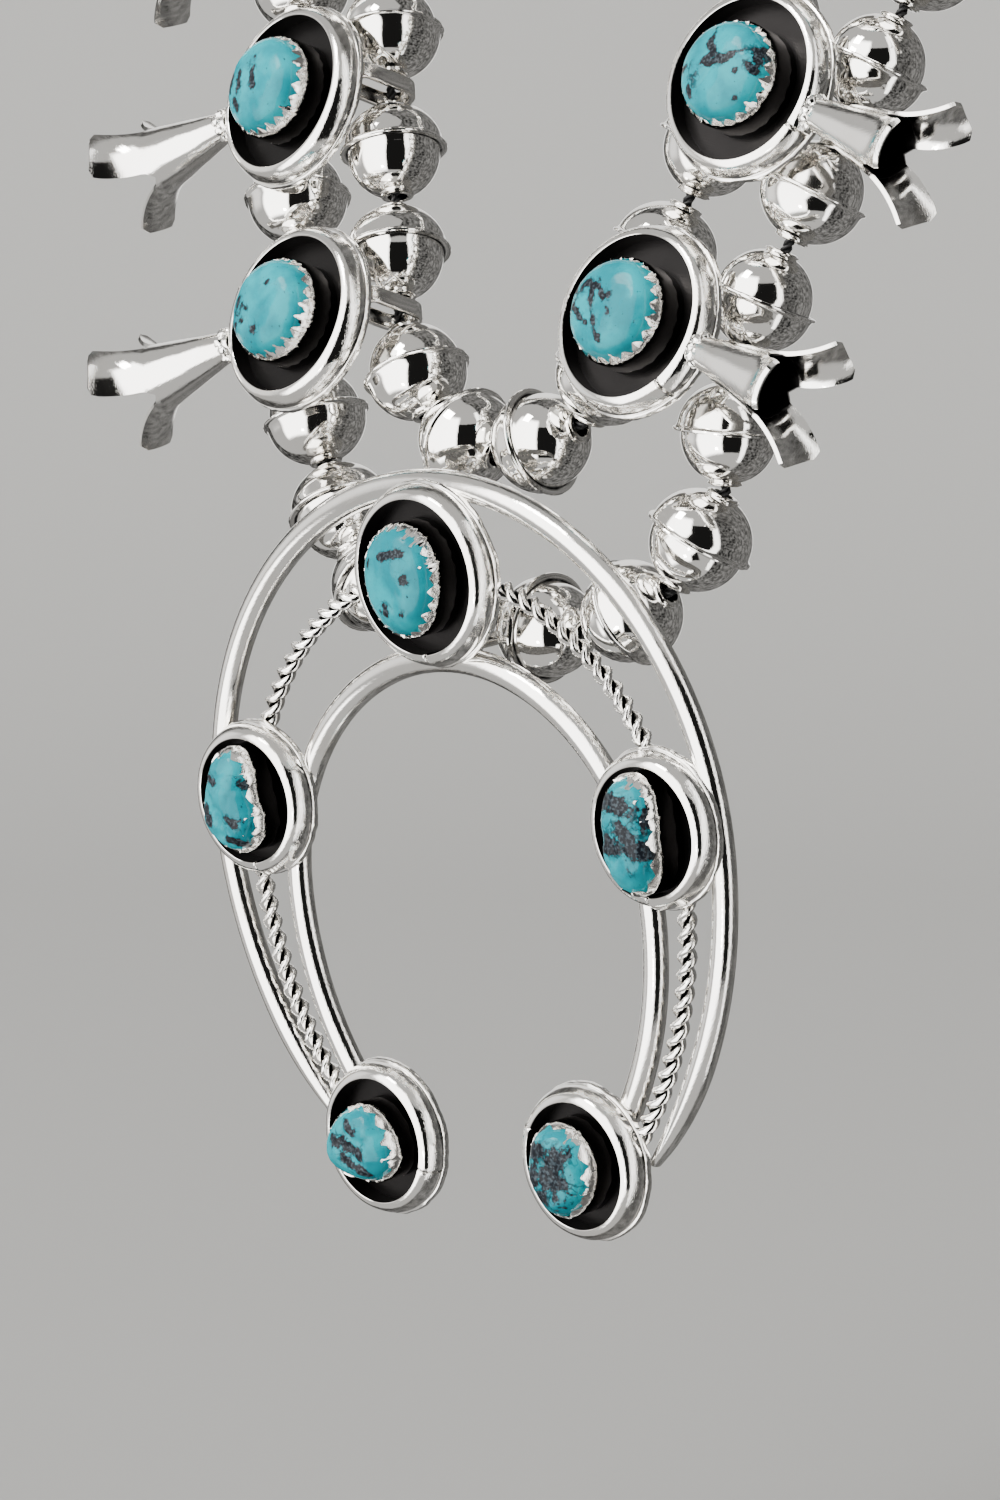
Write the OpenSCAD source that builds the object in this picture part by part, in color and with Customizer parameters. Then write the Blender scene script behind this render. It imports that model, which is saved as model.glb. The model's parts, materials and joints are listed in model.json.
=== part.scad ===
// Squash blossom necklace: two strands of round silver beads, ten trumpet blossoms on
// shadowbox settings, and a crescent pendant with five more shadowboxes.
// The origin is the nape, where the necklace sits on the neck. +Z is up, -Y is the front
// and +X is to the right in a front view. All sizes are in millimetres.

/* [Beads] */
// Diameter of one bead, from seam to seam
bead_d = 11; // [9:0.5:12]
// Thickness of a bead's silver wall
bead_wall = 0.5; // [0.3:0.1:0.8]
// How far the soldered seam stands proud of the bead
seam_proud = 0.2; // [0.1:0.05:0.3]
// Width of the soldered seam
seam_w = 0.6; // [0.4:0.1:1]
// Diameter of the hole through a bead
bead_bore_d = 2.2; // [1.8:0.1:2.6]
// Diameter of the thread that the beads are strung on
thread_d = 1.2; // [0.8:0.1:1.5]
// Free length left beside each bead
bead_gap = 0.35; // [0.25:0.05:0.6]

/* [Strands] */
// Distance between the outer and the inner strand
strand_pitch = 15.4; // [14.5:0.1:16.5]
// Number of blossoms on each side
blossom_count = 5; // [3:1:5]
// How far right of the middle the pendant hangs
bail_shift = 2.3; // [0:0.1:3]
// Length of the clasp at the nape
clasp_l = 14; // [10:1:18]
// Outer diameter of the clasp's two tubes
clasp_d = 5.5; // [4.5:0.5:7]

/* [Shadowboxes] */
// Outer diameter of a blossom's shadowbox
blossom_box_d = 20; // [18.5:0.5:20.5]
// Outer diameter of the pendant's top shadowbox
top_box_d = 19.2; // [18:0.2:20]
// Outer diameter of the pendant's four lower shadowboxes
low_box_d = 16.4; // [15.5:0.1:17.5]
// Height of the band that walls a box
band_h = 2.8; // [2.4:0.1:3.6]
// Thickness of the band
band_wall = 1.5; // [1.1:0.1:1.7]
// Thickness of the back plate
plate_t = 0.8; // [0.6:0.1:1.2]
// How far the back plate stands out round the band
plate_lip = 0.45; // [0.3:0.05:0.7]
// Clearance between a bead and what lies in front of it
bead_clear = 0.6; // [0.4:0.1:1]

/* [Bezels and stones] */
// Diameter of a round stone
stone_d = 10.6; // [9.5:0.1:11.5]
// Height of a round stone
stone_h = 6.4; // [5.6:0.1:7.4]
// Height of a round stone's dome, above its straight side
dome_h = 2.2; // [1.6:0.1:3]
// Height of the stones of the pendant
nugget_h = 5.9; // [5.2:0.1:6.8]
// Thickness of the bezel strip
bezel_t = 0.35; // [0.3:0.05:0.5]
// Height of the bezel to the tips of its teeth
bezel_h = 4.9; // [4.2:0.1:5.3]
// Depth of the cuts between the teeth
tooth_h = 0.9; // [0.6:0.1:1.2]
// Number of teeth round a bezel, an even number
tooth_count = 22; // [16:2:26]
// Clearance round a stone
stone_clear = 0.12; // [0.1:0.02:0.2]

/* [Blossoms] */
// Length of the trumpet's stem
stem_l = 11; // [9:0.5:13]
// Diameter of the stem where it meets the box
stem_d0 = 2.8; // [2.4:0.1:3]
// Diameter of the stem where the petals begin
stem_d1 = 6; // [5:0.1:7]
// Length of a petal, along its curve
petal_l = 6.8; // [5:0.1:8]
// Width of a petal
petal_w = 5.6; // [4.5:0.1:6]
// Angle at which the petals' tips stand out from the stem
petal_flare = 62; // [45:1:70]
// Thickness of the sheet of stem and petals
sheet_t = 0.5; // [0.4:0.05:0.7]
// Diameter of the solder collar at the foot of the stem
collar_d = 3.2; // [3.1:0.1:3.6]
// Width of the flat wire of the loops behind a box
loop_w = 1.8; // [1.4:0.1:2.2]
// Thickness of that flat wire
loop_t = 0.8; // [0.6:0.1:1]
// Inner diameter of a loop
loop_bore = 3.6; // [3.2:0.1:4]

/* [Pendant] */
// Radius of the outer wire's upper arc, at its centre line
outer_r = 36.8; // [34:0.2:40]
// Radius of the outer wire's two lower arcs
outer_low_r = 47.6; // [44:0.2:52]
// Turn of the outer wire's lower arcs, in degrees
outer_turn = 45; // [42:1:48]
// Distance from the outer wire's top to the inner wire's top
wire_drop = 18.5; // [17:0.1:19]
// Radius of the inner wire's upper arc
inner_r = 26.2; // [24:0.2:28]
// Radius of the inner wire's two lower arcs
inner_low_r = 37.2; // [34:0.2:42]
// Turn of the inner wire's lower arcs, in degrees
inner_turn = 34; // [30:1:38]
// Width of the heavy triangular wire
wire_w = 3.2; // [2.8:0.1:3.6]
// Height of the heavy triangular wire
wire_h = 2.7; // [2.4:0.1:3]
// Diameter of the twisted wire between the heavy ones
rope_d = 2.2; // [1.8:0.1:2.6]
// Height of the outer wire's top above the bail
bail_drop = 15.5; // [14:0.1:17]
// Width of the bail, along the strand
bail_w = 3; // [2.4:0.1:4]
// How far the pendant's foot hangs back, in degrees
pendant_lean = 8; // [4:0.5:12]

/* [Hidden] */

$fn = 64;
silver = [0.86, 0.85, 0.82];
turquoise = [0.24, 0.72, 0.76];
black = [0.1, 0.1, 0.1];
overlap = 0.2;
// Free length that the thread has between two blossoms, besides the beads' own
blossom_spare = 1.5;
// How much thinner the lower arcs of a wire are, and how far they run into the upper one
drawn = 0.98;
tuck = 1;
// How far the solder collar stands clear of the plane of the plate's back
stem_lift = 0.15;
// How far the stem's foot lies inside the band, and the length of its solder collar
stem_foot = 0.6;
collar_l = 1.2;
// Angle of the trumpet's side at the end of the stem
stem_angle = 8;
// How deep the pendant's plates sit over the ridges of its wires
plate_seat = 0.45;
// How far the side boxes lie inwards from midway between the wires, and above their centre
side_shift = 1.9;
side_rise = 2.3;
// How far the foot boxes lie inside the ends of the outer wire, and below them
foot_inset = 0.2;

// The strands' chosen points. "side" is the line midway between the two strands, from the
// lowest blossom up round the neck to the nape, as [x, y, z] from the nape. The rest are the
// bends of each strand below the lowest blossoms, as [x, z] from the bail's middle line.
route = [
    ["side", [[24.9, -135.4, -172.8], [33.3, -128, -148.5], [41.5, -120, -125], [49.8, -110, -101],
        [57.4, -96.5, -76], [64.7, -77, -48], [70.8, -52.5, -21.5], [55.8, -19.5, -6.8], [28, -4, -1], [0, 0, 0]]],
    ["outer right", [[9, -1.2], [19, -0.8], [28, 5.4], [31.9, 15.6]]],
    ["outer left", [[-6, -0.8], [-16.8, 2.2], [-24.6, 10.4], [-29.4, 20.4]]],
    ["inner", [[-15.4, 25.6], [-9.8, 19.4], [0, 16.4], [9.8, 19.4], [15.4, 25.6]]],
];
// How far the outer strand's lowest point lies in front of the lowest blossoms, and below them
bail_ahead = 4.6;
bail_below = 29.2;
// How the strands' lowest stretch leans back as it rises, and curves back to the sides
chest_lean = 0.18;
chest_curve = 0.0012;
// The point that the inner strand lies towards, above the middle of the neck
pull_point = [0, -61, 91];

bead_r = bead_d / 2;
piece_l = bead_d + bead_gap;
loop_l = loop_w + bead_gap;
blossom_pitch = 2 * piece_l + loop_l + blossom_spare;
// What lies in front of the beads starts at this height above the strands' middle plane
front_z = bead_r + seam_proud + bead_clear;
stone_r = stone_d / 2;
bezel_r = stone_r + stone_clear;
stem_r0 = stem_d0 / 2;
stem_r1 = stem_d1 / 2;
wire_z = front_z + wire_h / 2;
naja_plate_z = front_z + wire_h - plate_seat;
outer_cy = bail_drop - outer_r;
inner_cy = bail_drop - wire_drop - inner_r;
rope_r = (outer_r + inner_r) / 2;
rope_low_r = (outer_low_r + inner_low_r) / 2;
rope_cy = (outer_cy + inner_cy) / 2;
rope_turn = (outer_turn + inner_turn) / 2;

// The stones of the pendant: place, half width, half height, lobe, lobes, its angle, box
top_place = [0, bail_drop - wire_drop / 2];
side_place = [(outer_r + inner_r) / 2 - side_shift, outer_cy + side_rise];
foot_place = [foot_x(), foot_y()];
naja_stones = [
    [top_place, 4.7, 5.7, 0.02, 3, 30, top_box_d],
    [[-side_place.x, side_place.y], 3.5, 5.4, 0.09, 3, 200, low_box_d],
    [side_place, 3.6, 5.3, 0.13, 2, 90, low_box_d],
    [[-foot_place.x, foot_place.y], 4.6, 3.9, 0.06, 3, 80, low_box_d],
    [foot_place, 3.9, 4.7, 0.04, 3, 250, low_box_d],
];
stone_sides = 28;
stone_rings = [[1, 0], [1, 0.66], [0.95, 0.8], [0.84, 0.9], [0.6, 0.97], [0.28, 1]];

function foot_x() = outer_r - outer_low_r * (1 - cos(outer_turn)) - low_box_d / 2 + foot_inset;
function foot_y() = outer_cy - outer_low_r * sin(outer_turn) - foot_inset;
function unit(v) = v / norm(v);
function flip(p) = [-p.x, p.y, p.z];
function backwards(list) = [for (i = [len(list) - 1:-1:0]) list[i]];
function named(name) = [for (row = route) if (row[0] == name) row[1]][0];

bail_y = named("side")[0].y - bail_ahead;
bail_z = named("side")[0].z - bail_below;

// A smooth curve through points: Catmull-Rom, with steps samples between two of them
function bend(a, b, c, d, t) = 0.5 * (2 * b + (c - a) * t + (2 * a - 5 * b + 4 * c - d) * t * t
    + (3 * b - a - 3 * c + d) * t * t * t);
function smooth(p, before, after, steps = 10) =
    let (q = concat([before], p, [after]))
    concat([for (i = [1:len(q) - 3], j = [0:steps - 1])
        bend(q[i - 1], q[i], q[i + 1], q[i + 2], j / steps)], [p[len(p) - 1]]);

// A table of a curve by its length, and the point at one length along it
function running(c) = [for (i = 0, s = 0; i < len(c);
    s = s + (i + 1 < len(c) ? norm(c[i + 1] - c[i]) : 0), i = i + 1) s];
function by_length(c) =
    let (s = running(c))
    concat([for (k = [0:2]) [for (i = [0:len(c) - 1]) [s[i], c[i][k]]]], [s[len(s) - 1]]);
function at(table, s) = [for (k = [0:2]) lookup(s, table[k])];
function total(table) = table[3];

// The line between the strands on the right side, its direction and the way to the outer strand
side_points = named("side");
side = by_length(smooth(side_points, 2 * side_points[0] - side_points[1],
    flip(side_points[len(side_points) - 2])));
side_l = total(side);
function ahead(s) = unit(at(side, min(s + 1, side_l)) - at(side, max(s - 1, 0)));
function outward(s) =
    let (t = ahead(s), d = pull_point - at(side, s))
    -unit(d - (d * t) * t);
function strand_point(s, way) = at(side, s) + way * strand_pitch / 2 * outward(s);
samples = 120;
function strand_curve(way) = [for (i = [0:samples]) strand_point(side_l * i / samples, way)];

// The bends below the lowest blossoms
function chest(p) = [p.x, bail_y + chest_lean * p.y + chest_curve * p.x * p.x, bail_z + p.y];
bail_point = chest([bail_shift, 0]);
outer_start = strand_point(0, 1);
inner_start = strand_point(0, -1);
outer_up = strand_point(4, 1);
inner_up = strand_point(4, -1);
function outer_bend(name, turn) =
    let (p = concat([bail_point], [for (q = named(name)) chest(q)], [turn(outer_start)]))
    by_length(smooth(p, 2 * p[0] - p[1], turn(outer_up)));
bend_right = outer_bend("outer right", function(p) p);
bend_left = outer_bend("outer left", function(p) flip(p));
inner_bend_points = concat([flip(inner_start)], [for (q = named("inner")) chest(q)], [inner_start]);
bend_inner = by_length(smooth(inner_bend_points, flip(inner_up), inner_up));

// Ends of the pieces strung on a stretch: n equal steps from length a to length b
function steps(table, a, b, n) = [for (i = [0:n]) at(table, a + (b - a) * i / n)];
bend_beads = 4;
outer_bend_right = steps(bend_right, (bail_w + bead_gap) / 2, total(bend_right) - loop_l / 2, bend_beads);
outer_bend_left = steps(bend_left, (bail_w + bead_gap) / 2, total(bend_left) - loop_l / 2, bend_beads);
inner_bend_l = total(bend_inner);
inner_bend_right = steps(bend_inner, inner_bend_l / 2, inner_bend_l - loop_l / 2, bend_beads / 2);
inner_bend_left = steps(bend_inner, inner_bend_l / 2, loop_l / 2, bend_beads / 2);

// The two beads between neighbouring blossoms, and the plain stretch from the last to the clasp
function blossom_s(i) = (i - 1) * blossom_pitch;
function pair(i, way) = [for (j = [0:2])
    strand_point(blossom_s(i) + loop_l / 2 + j * (blossom_pitch - loop_l) / 2, way)];
function plain(way) =
    let (c = strand_curve(way), l = running(c),
        a = lookup(samples * (blossom_s(blossom_count) + loop_l / 2) / side_l,
            [for (i = [0:samples]) [i, l[i]]]),
        b = l[samples] - (clasp_l + bead_gap) / 2)
    steps(by_length(c), a, b, floor((b - a) / piece_l));
outer_pairs = [for (i = [1:blossom_count - 1]) pair(i, 1)];
inner_pairs = [for (i = [1:blossom_count - 1]) pair(i, -1)];
outer_plain = plain(1);
inner_plain = plain(-1);

// Turns +Z towards a direction, and sets x, y and z axes at a place
module point_to(d) rotate([0, acos(d.z / norm(d)), atan2(d.y, d.x)]) children();
module set_axes(o, x, y, z)
    multmatrix([[x.x, y.x, z.x, o.x], [x.y, y.y, z.y, o.y], [x.z, y.z, z.z, o.z], [0, 0, 0, 1]])
    children();
module mirror_left(left) mirror([left ? 1 : 0, 0, 0]) children();

// One bead: two soldered halves, hollow, with its seam round the middle
module bead() difference() {
    union() {
        sphere(bead_r);
        cylinder(h = seam_w, r = bead_r + seam_proud, center = true);
    }
    sphere(bead_r - bead_wall);
    cylinder(h = bead_d + 1, d = bead_bore_d, center = true);
}

// Beads strung between neighbouring ends in a list
module beads(ends) for (i = [0:len(ends) - 2])
    translate((ends[i] + ends[i + 1]) / 2) point_to(ends[i + 1] - ends[i]) bead();

module half_strand(bend_ends, pairs, plain_ends, left) color(silver) {
    beads(bend_ends);
    mirror_left(left) {
        for (ends = pairs) beads(ends);
        beads(plain_ends);
    }
}

// A thread through a closed loop of points, in rings of 8 sides
thread_sides = 8;
function ring(p, before, after) =
    let (t = unit(after - before), u = unit(cross(t, pull_point - p)), v = cross(t, u))
    [for (k = [0:thread_sides - 1]) let (a = 360 * k / thread_sides)
        p + thread_d / 2 * (cos(a) * u + sin(a) * v)];
module thread(points) {
    n = len(points);
    m = thread_sides;
    verts = [for (i = [0:n - 1]) each ring(points[i], points[(i + n - 1) % n], points[(i + 1) % n])];
    faces = [for (i = [0:n - 1], k = [0:m - 1])
        let (i2 = (i + 1) % n, k2 = (k + 1) % m)
        each [[i * m + k, i2 * m + k2, i * m + k2], [i * m + k, i2 * m + k, i2 * m + k2]]];
    color(black) polyhedron(verts, faces);
}
function joined(bend_ends, pairs, plain_ends) =
    concat(bend_ends, [for (ends = pairs) each ends], plain_ends);
function mirrored(points) = [for (p = points) flip(p)];
function outer_path() = concat([bail_point], joined(outer_bend_right, outer_pairs, outer_plain),
    backwards(mirrored(joined([], outer_pairs, outer_plain))), backwards(outer_bend_left));
function inner_path() = concat(joined(inner_bend_right, inner_pairs, inner_plain),
    backwards(mirrored(joined([], inner_pairs, inner_plain))),
    backwards([for (i = [1:len(inner_bend_left) - 1]) inner_bend_left[i]]));
module outer_thread() thread(outer_path());
module inner_thread() thread(inner_path());

// The clasp: two tubes on a plate, where both strands meet at the nape
module clasp() {
    ends = [for (way = [1, -1]) strand_point(side_l, way)];
    web = ends[0] - ends[1];
    color(silver) difference() {
        union() {
            for (p = ends) translate(p) rotate([0, 90, 0])
                cylinder(h = clasp_l, d = clasp_d, center = true);
            translate((ends[0] + ends[1]) / 2) rotate([atan2(web.z, web.y), 0, 0])
                cube([clasp_l - 2, norm(web), clasp_d / 2], center = true);
        }
        for (p = ends) translate(p) rotate([0, 90, 0])
            cylinder(h = clasp_l + 1, d = bead_bore_d, center = true);
    }
}

// A shadowbox: a heavy rounded band on a slightly larger plate, its back at height 0
module shadowbox(d) {
    cylinder(h = plate_t, r = d / 2 + plate_lip);
    rotate_extrude() translate([d / 2 - band_wall, 0]) {
        square([band_wall, plate_t + band_h - band_wall / 2]);
        translate([band_wall / 2, plate_t + band_h - band_wall / 2]) circle(d = band_wall, $fn = 32);
    }
}

// A round toothed bezel, standing on the floor of its box
module round_bezel() translate([0, 0, plate_t - overlap]) difference() {
    cylinder(h = bezel_h + overlap, r = bezel_r + bezel_t);
    translate([0, 0, -1]) cylinder(h = bezel_h + 2, r = bezel_r);
    for (i = [0:tooth_count / 2 - 1]) rotate([0, 0, 360 * i / tooth_count])
        translate([0, 0, bezel_h + overlap - tooth_h]) tooth_cut();
}

// A V cut right across a bezel, between its teeth
module tooth_cut() {
    half = PI * (bezel_r + bezel_t) / tooth_count;
    rotate([90, 0, 0]) linear_extrude(2 * bezel_r + 4, center = true)
        polygon([[0, 0], [half, tooth_h + 0.01], [-half, tooth_h + 0.01]]);
}

// A round stone with a straight side and a flat dome, its base just above the floor of its box
module round_stone() translate([0, 0, plate_t + stone_clear]) {
    dome_r = (stone_r * stone_r + dome_h * dome_h) / (2 * dome_h);
    intersection() {
        cylinder(h = stone_h, r = stone_r);
        translate([0, 0, stone_h - dome_r]) sphere(dome_r, $fn = 96);
    }
}

// The outline of a pendant stone, grown by a margin
function stone_edge(s, grow) = [for (i = [0:stone_sides - 1])
    let (a = 360 * i / stone_sides,
        r = (1 + s[3] * cos(s[4] * (a - s[5]))) / sqrt(pow(cos(a) / s[1], 2) + pow(sin(a) / s[2], 2)))
    (r + grow) * [cos(a), sin(a)]];

// A domed nugget, lofted through shrinking copies of its outline
module nugget(s) {
    edge = stone_edge(s, 0);
    n = stone_sides;
    m = len(stone_rings);
    verts = concat([for (row = stone_rings, p = edge) [p.x * row[0], p.y * row[0], nugget_h * row[1]]],
        [[0, 0, nugget_h * 1.02]]);
    walls = [for (j = [0:m - 2], i = [0:n - 1]) let (i2 = (i + 1) % n)
        each [[j * n + i, (j + 1) * n + i, (j + 1) * n + i2], [j * n + i, (j + 1) * n + i2, j * n + i2]]];
    cap = [for (i = [0:n - 1]) [(m - 1) * n + i, n * m, (m - 1) * n + (i + 1) % n]];
    base = [[for (i = [0:n - 1]) i]];
    color(turquoise) translate([0, 0, plate_t + stone_clear]) polyhedron(verts, concat(walls, cap, base));
}

// The plain bezel round a nugget, as far up as the feet of its teeth
module nugget_bezel(s) translate([0, 0, plate_t - overlap])
    linear_extrude(bezel_h - tooth_h / 2 + overlap) difference() {
        polygon(stone_edge(s, stone_clear + bezel_t));
        polygon(stone_edge(s, stone_clear));
    }

// A loop of flat wire behind a plate, round a thread at height 0, reaching up to height top
module thread_loop(top, width) rotate([90, 0, 0]) linear_extrude(width, center = true) difference() {
    union() {
        circle(d = loop_bore + 2 * loop_t, $fn = 32);
        translate([-loop_bore / 2 - loop_t, 0]) square([loop_bore + 2 * loop_t, top + overlap]);
    }
    circle(d = loop_bore, $fn = 32);
    translate([-loop_bore / 2, 0]) square([loop_bore, top - loop_t]);
}

// How far a petal stands out at one step of its curve, in degrees
function petal_angle(i) = stem_angle + (petal_flare - stem_angle) * i / petal_steps;

// The curve of a petal, from the end of the stem outwards: distance along, distance from the axis
petal_steps = 6;
function petal_curve(i) = i == 0 ? [stem_l, stem_r1]
    : let (p = petal_curve(i - 1), a = petal_angle(i - 0.5))
        p + petal_l / petal_steps * [cos(a), sin(a)];

// A trumpet of thin sheet along +Z: an open stem that flares into three petals, one of
// them towards -X, which is the front on a blossom
module trumpet() {
    inner = concat([[stem_foot, stem_r0 - sheet_t]], [for (i = [0:petal_steps]) petal_curve(i)]);
    tip = petal_curve(petal_steps);
    outer = concat([[0, stem_r0]], [for (i = [0:petal_steps])
        petal_curve(i) + sheet_t * [-sin(petal_angle(i)), cos(petal_angle(i))]]);
    difference() {
        rotate_extrude() polygon(concat([for (p = outer) [p.y, p.x]], [for (p = backwards(inner)) [p.y, p.x]],
            [[0, stem_foot], [0, 0]]));
        for (k = [0:2]) rotate([0, 0, 120 * k]) petal_gap(tip);
    }
    cylinder(h = collar_l, d = collar_d, $fn = 32);
}

// The open wedge between two petals, whose sides run parallel to those petals
module petal_gap(tip) {
    far = 3 * tip.y;
    half = petal_w / 2;
    corner = half / cos(30);
    translate([0, 0, stem_l + stem_foot]) linear_extrude(2 * petal_l)
        polygon([[corner, 0], [corner + far * cos(60), far * sin(60)], [corner + far, 0],
            [corner + far * cos(60), -far * sin(60)]]);
}

// One blossom: box, bezel, trumpet and two thread loops, soldered into one piece.
// x points to the outer strand, y up the strands and z to the front.
module blossom_metal() color(silver) {
    translate([0, 0, front_z]) {
        shadowbox(blossom_box_d);
        round_bezel();
    }
    for (x = [-1, 1]) translate([x * strand_pitch / 2, 0, 0]) thread_loop(front_z, loop_w);
    translate([blossom_box_d / 2 - stem_foot, 0, front_z + collar_d / 2 + stem_lift]) rotate([0, 90, 0])
        trumpet();
}

module at_blossom(i, left) {
    s = blossom_s(i);
    x = outward(s);
    z = unit(cross(x, ahead(s)));
    mirror_left(left) set_axes(at(side, s), x, cross(z, x), z) children();
}

module blossom(i, left) at_blossom(i, left) blossom_metal();
module blossom_stone(i, left) color(turquoise) at_blossom(i, left)
    translate([0, 0, front_z]) round_stone();

// The pendant's own axes: x right, y up, z to the front, from the strand's middle in the bail
module at_naja() translate(bail_point) rotate([90 + pendant_lean, 0, 0]) children();

// The section of the heavy wire: a flat back and two bowed sides that meet in front
module wire_section() {
    bow = (wire_w * wire_w / 4 + wire_h * wire_h) / wire_w;
    translate([0, -wire_h / 2]) intersection() {
        translate([bow - wire_w / 2, 0]) circle(bow, $fn = 96);
        translate([wire_w / 2 - bow, 0]) circle(bow, $fn = 96);
        translate([-wire_w, 0]) square([2 * wire_w, 2 * wire_h]);
    }
}

// A wire bent to a crescent: one upper arc and two lower arcs that turn inwards. The lower
// arcs are drawn a hair thinner and run a little way into the upper one.
module crescent(r, low_r, turn, cy) translate([0, cy, wire_z]) {
    rotate_extrude(angle = 180, $fn = 128) translate([r, 0]) children();
    for (left = [0, 1]) mirror([left, 0, 0]) translate([r - low_r, 0, 0]) rotate([0, 0, -turn])
        rotate_extrude(angle = turn + tuck, $fn = 128) translate([low_r, 0]) scale(drawn) children();
}

module naja() color(silver) at_naja() {
    crescent(outer_r, outer_low_r, outer_turn, outer_cy) wire_section();
    crescent(inner_r, inner_low_r, inner_turn, inner_cy) wire_section();
    crescent(rope_r, rope_low_r, rope_turn, rope_cy) circle(d = rope_d, $fn = 24);
    for (s = naja_stones) translate([s[0].x, s[0].y, naja_plate_z]) {
        shadowbox(s[6]);
        nugget_bezel(s);
    }
    bail();
}

// The bail: a wider loop behind the top box, round the outer strand's thread
module bail() rotate([0, 0, 90]) thread_loop(naja_plate_z, bail_w);

module naja_stone(i) at_naja() {
    s = naja_stones[i - 1];
    translate([s[0].x, s[0].y, naja_plate_z]) nugget(s);
}

half_strand(outer_bend_right, outer_pairs, outer_plain, false);  // outer_beads_right
half_strand(outer_bend_left, outer_pairs, outer_plain, true);  // outer_beads_left
half_strand(inner_bend_right, inner_pairs, inner_plain, false);  // inner_beads_right
half_strand(inner_bend_left, inner_pairs, inner_plain, true);  // inner_beads_left
outer_thread();
inner_thread();
clasp();
naja();
for (i = [1:5]) naja_stone(i);
for (i = [1:blossom_count]) {
    blossom(i, false);
    blossom(i, true);
    blossom_stone(i, false);
    blossom_stone(i, true);
}
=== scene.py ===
# %% [markdown]
# A squash blossom necklace is strung from hollow silver beads, trumpet shaped blossoms and
# a crescent pendant, the naja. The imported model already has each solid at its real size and
# place. This lesson dresses it: it measures where each solid lies, builds the finer form of
# the silversmith's work round those places, and gives every surface its finish.

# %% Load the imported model
import json
import math
from functools import partialmethod

import bmesh
import bpy
import numpy as np
from mathutils import Matrix, Vector, noise


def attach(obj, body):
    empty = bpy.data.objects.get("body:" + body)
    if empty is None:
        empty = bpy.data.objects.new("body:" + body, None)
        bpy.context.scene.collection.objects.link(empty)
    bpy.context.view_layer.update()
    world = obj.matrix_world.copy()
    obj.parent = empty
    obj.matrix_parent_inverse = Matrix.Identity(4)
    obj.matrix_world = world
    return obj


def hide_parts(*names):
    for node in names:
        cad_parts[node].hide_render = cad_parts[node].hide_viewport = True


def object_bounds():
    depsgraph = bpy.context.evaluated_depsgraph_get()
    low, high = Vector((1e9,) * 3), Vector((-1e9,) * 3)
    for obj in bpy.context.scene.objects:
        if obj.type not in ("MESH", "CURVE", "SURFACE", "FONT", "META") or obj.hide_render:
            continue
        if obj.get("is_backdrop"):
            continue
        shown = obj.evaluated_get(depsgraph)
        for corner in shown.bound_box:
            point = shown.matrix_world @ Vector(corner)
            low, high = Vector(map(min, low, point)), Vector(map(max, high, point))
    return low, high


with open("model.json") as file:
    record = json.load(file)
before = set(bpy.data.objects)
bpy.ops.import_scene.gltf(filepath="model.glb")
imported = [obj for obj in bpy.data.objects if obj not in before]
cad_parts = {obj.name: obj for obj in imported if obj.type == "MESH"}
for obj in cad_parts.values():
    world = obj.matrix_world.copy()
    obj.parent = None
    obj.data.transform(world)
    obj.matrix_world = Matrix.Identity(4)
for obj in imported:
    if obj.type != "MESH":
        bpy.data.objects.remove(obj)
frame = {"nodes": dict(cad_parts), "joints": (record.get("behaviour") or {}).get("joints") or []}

cad_low, cad_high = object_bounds()
print("the model's box in mm:", [round(1000 * v, 1) for v in (*cad_low, *cad_high)])

# %% [markdown]
# The camera comes first, because every later choice is judged through it. The photograph was
# taken from the left side of the necklace as it is worn and a little above, with a long lens
# close to the pendant, so the camera stands 45 degrees round from the front and 4 degrees up.
# It aims at a point given from the bail, on which the pendant hangs, so the framing stays tied
# to the necklace.

# %% The camera
MM = 0.001
swing = frame["joints"][0]
bail = Vector(swing["pos_m"])
AZIMUTH = 45
ELEVATION = 4
CAMERA_DISTANCE = 720 * MM
LENS = 164.8
AIM_RIGHT = 0.3 * MM
AIM_DOWN = 13.9 * MM


def direction(azimuth, elevation):
    """The way out from the necklace: degrees round from its front, and degrees up."""
    a, e = math.radians(azimuth), math.radians(elevation)
    return Vector((math.sin(a) * math.cos(e), -math.cos(a) * math.cos(e), math.sin(e)))


toward = direction(AZIMUTH, ELEVATION)
view_right = direction(AZIMUTH + 90, 0)
view_up = toward.cross(view_right)
aim = bail + AIM_RIGHT * view_right - AIM_DOWN * view_up

camera = bpy.data.objects.new("camera", bpy.data.cameras.new("camera"))
bpy.context.scene.collection.objects.link(camera)
camera.data.lens = LENS
camera.data.clip_start = 10 * MM
camera.rotation_mode = "QUATERNION"
camera.location = aim + toward * CAMERA_DISTANCE
camera.rotation_quaternion = Matrix((view_right, view_up, toward)).transposed().to_quaternion()
bpy.context.scene.camera = camera
print("camera at", [round(v, 3) for v in camera.location])

# %% [markdown]
# The shapes are drawn in millimetres, each in its own small frame, and then carried to their
# place by one matrix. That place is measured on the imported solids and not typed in, so the
# dressing follows the model. Measuring starts with a solid's points and triangles, with the
# points that lie on each other made one.

# %% Points, triangles and loose solids of a node
POINT_DIGITS = 7
NORMAL_DIGITS = 3


def values_of(items, name, kind=float):
    """Three numbers of each item of a mesh, as the rows of an array."""
    values = np.zeros(len(items) * 3, kind)
    items.foreach_get(name, values)
    return values.reshape(-1, 3)


def merged(node):
    """A node's points, each one once, and its triangles."""
    mesh = frame["nodes"][node].data
    mesh.calc_loop_triangles()
    points = np.round(values_of(mesh.vertices, "co"), POINT_DIGITS)
    unique, where = np.unique(points, axis=0, return_inverse=True)
    return unique, where.ravel()[values_of(mesh.loop_triangles, "vertices", int)]


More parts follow.
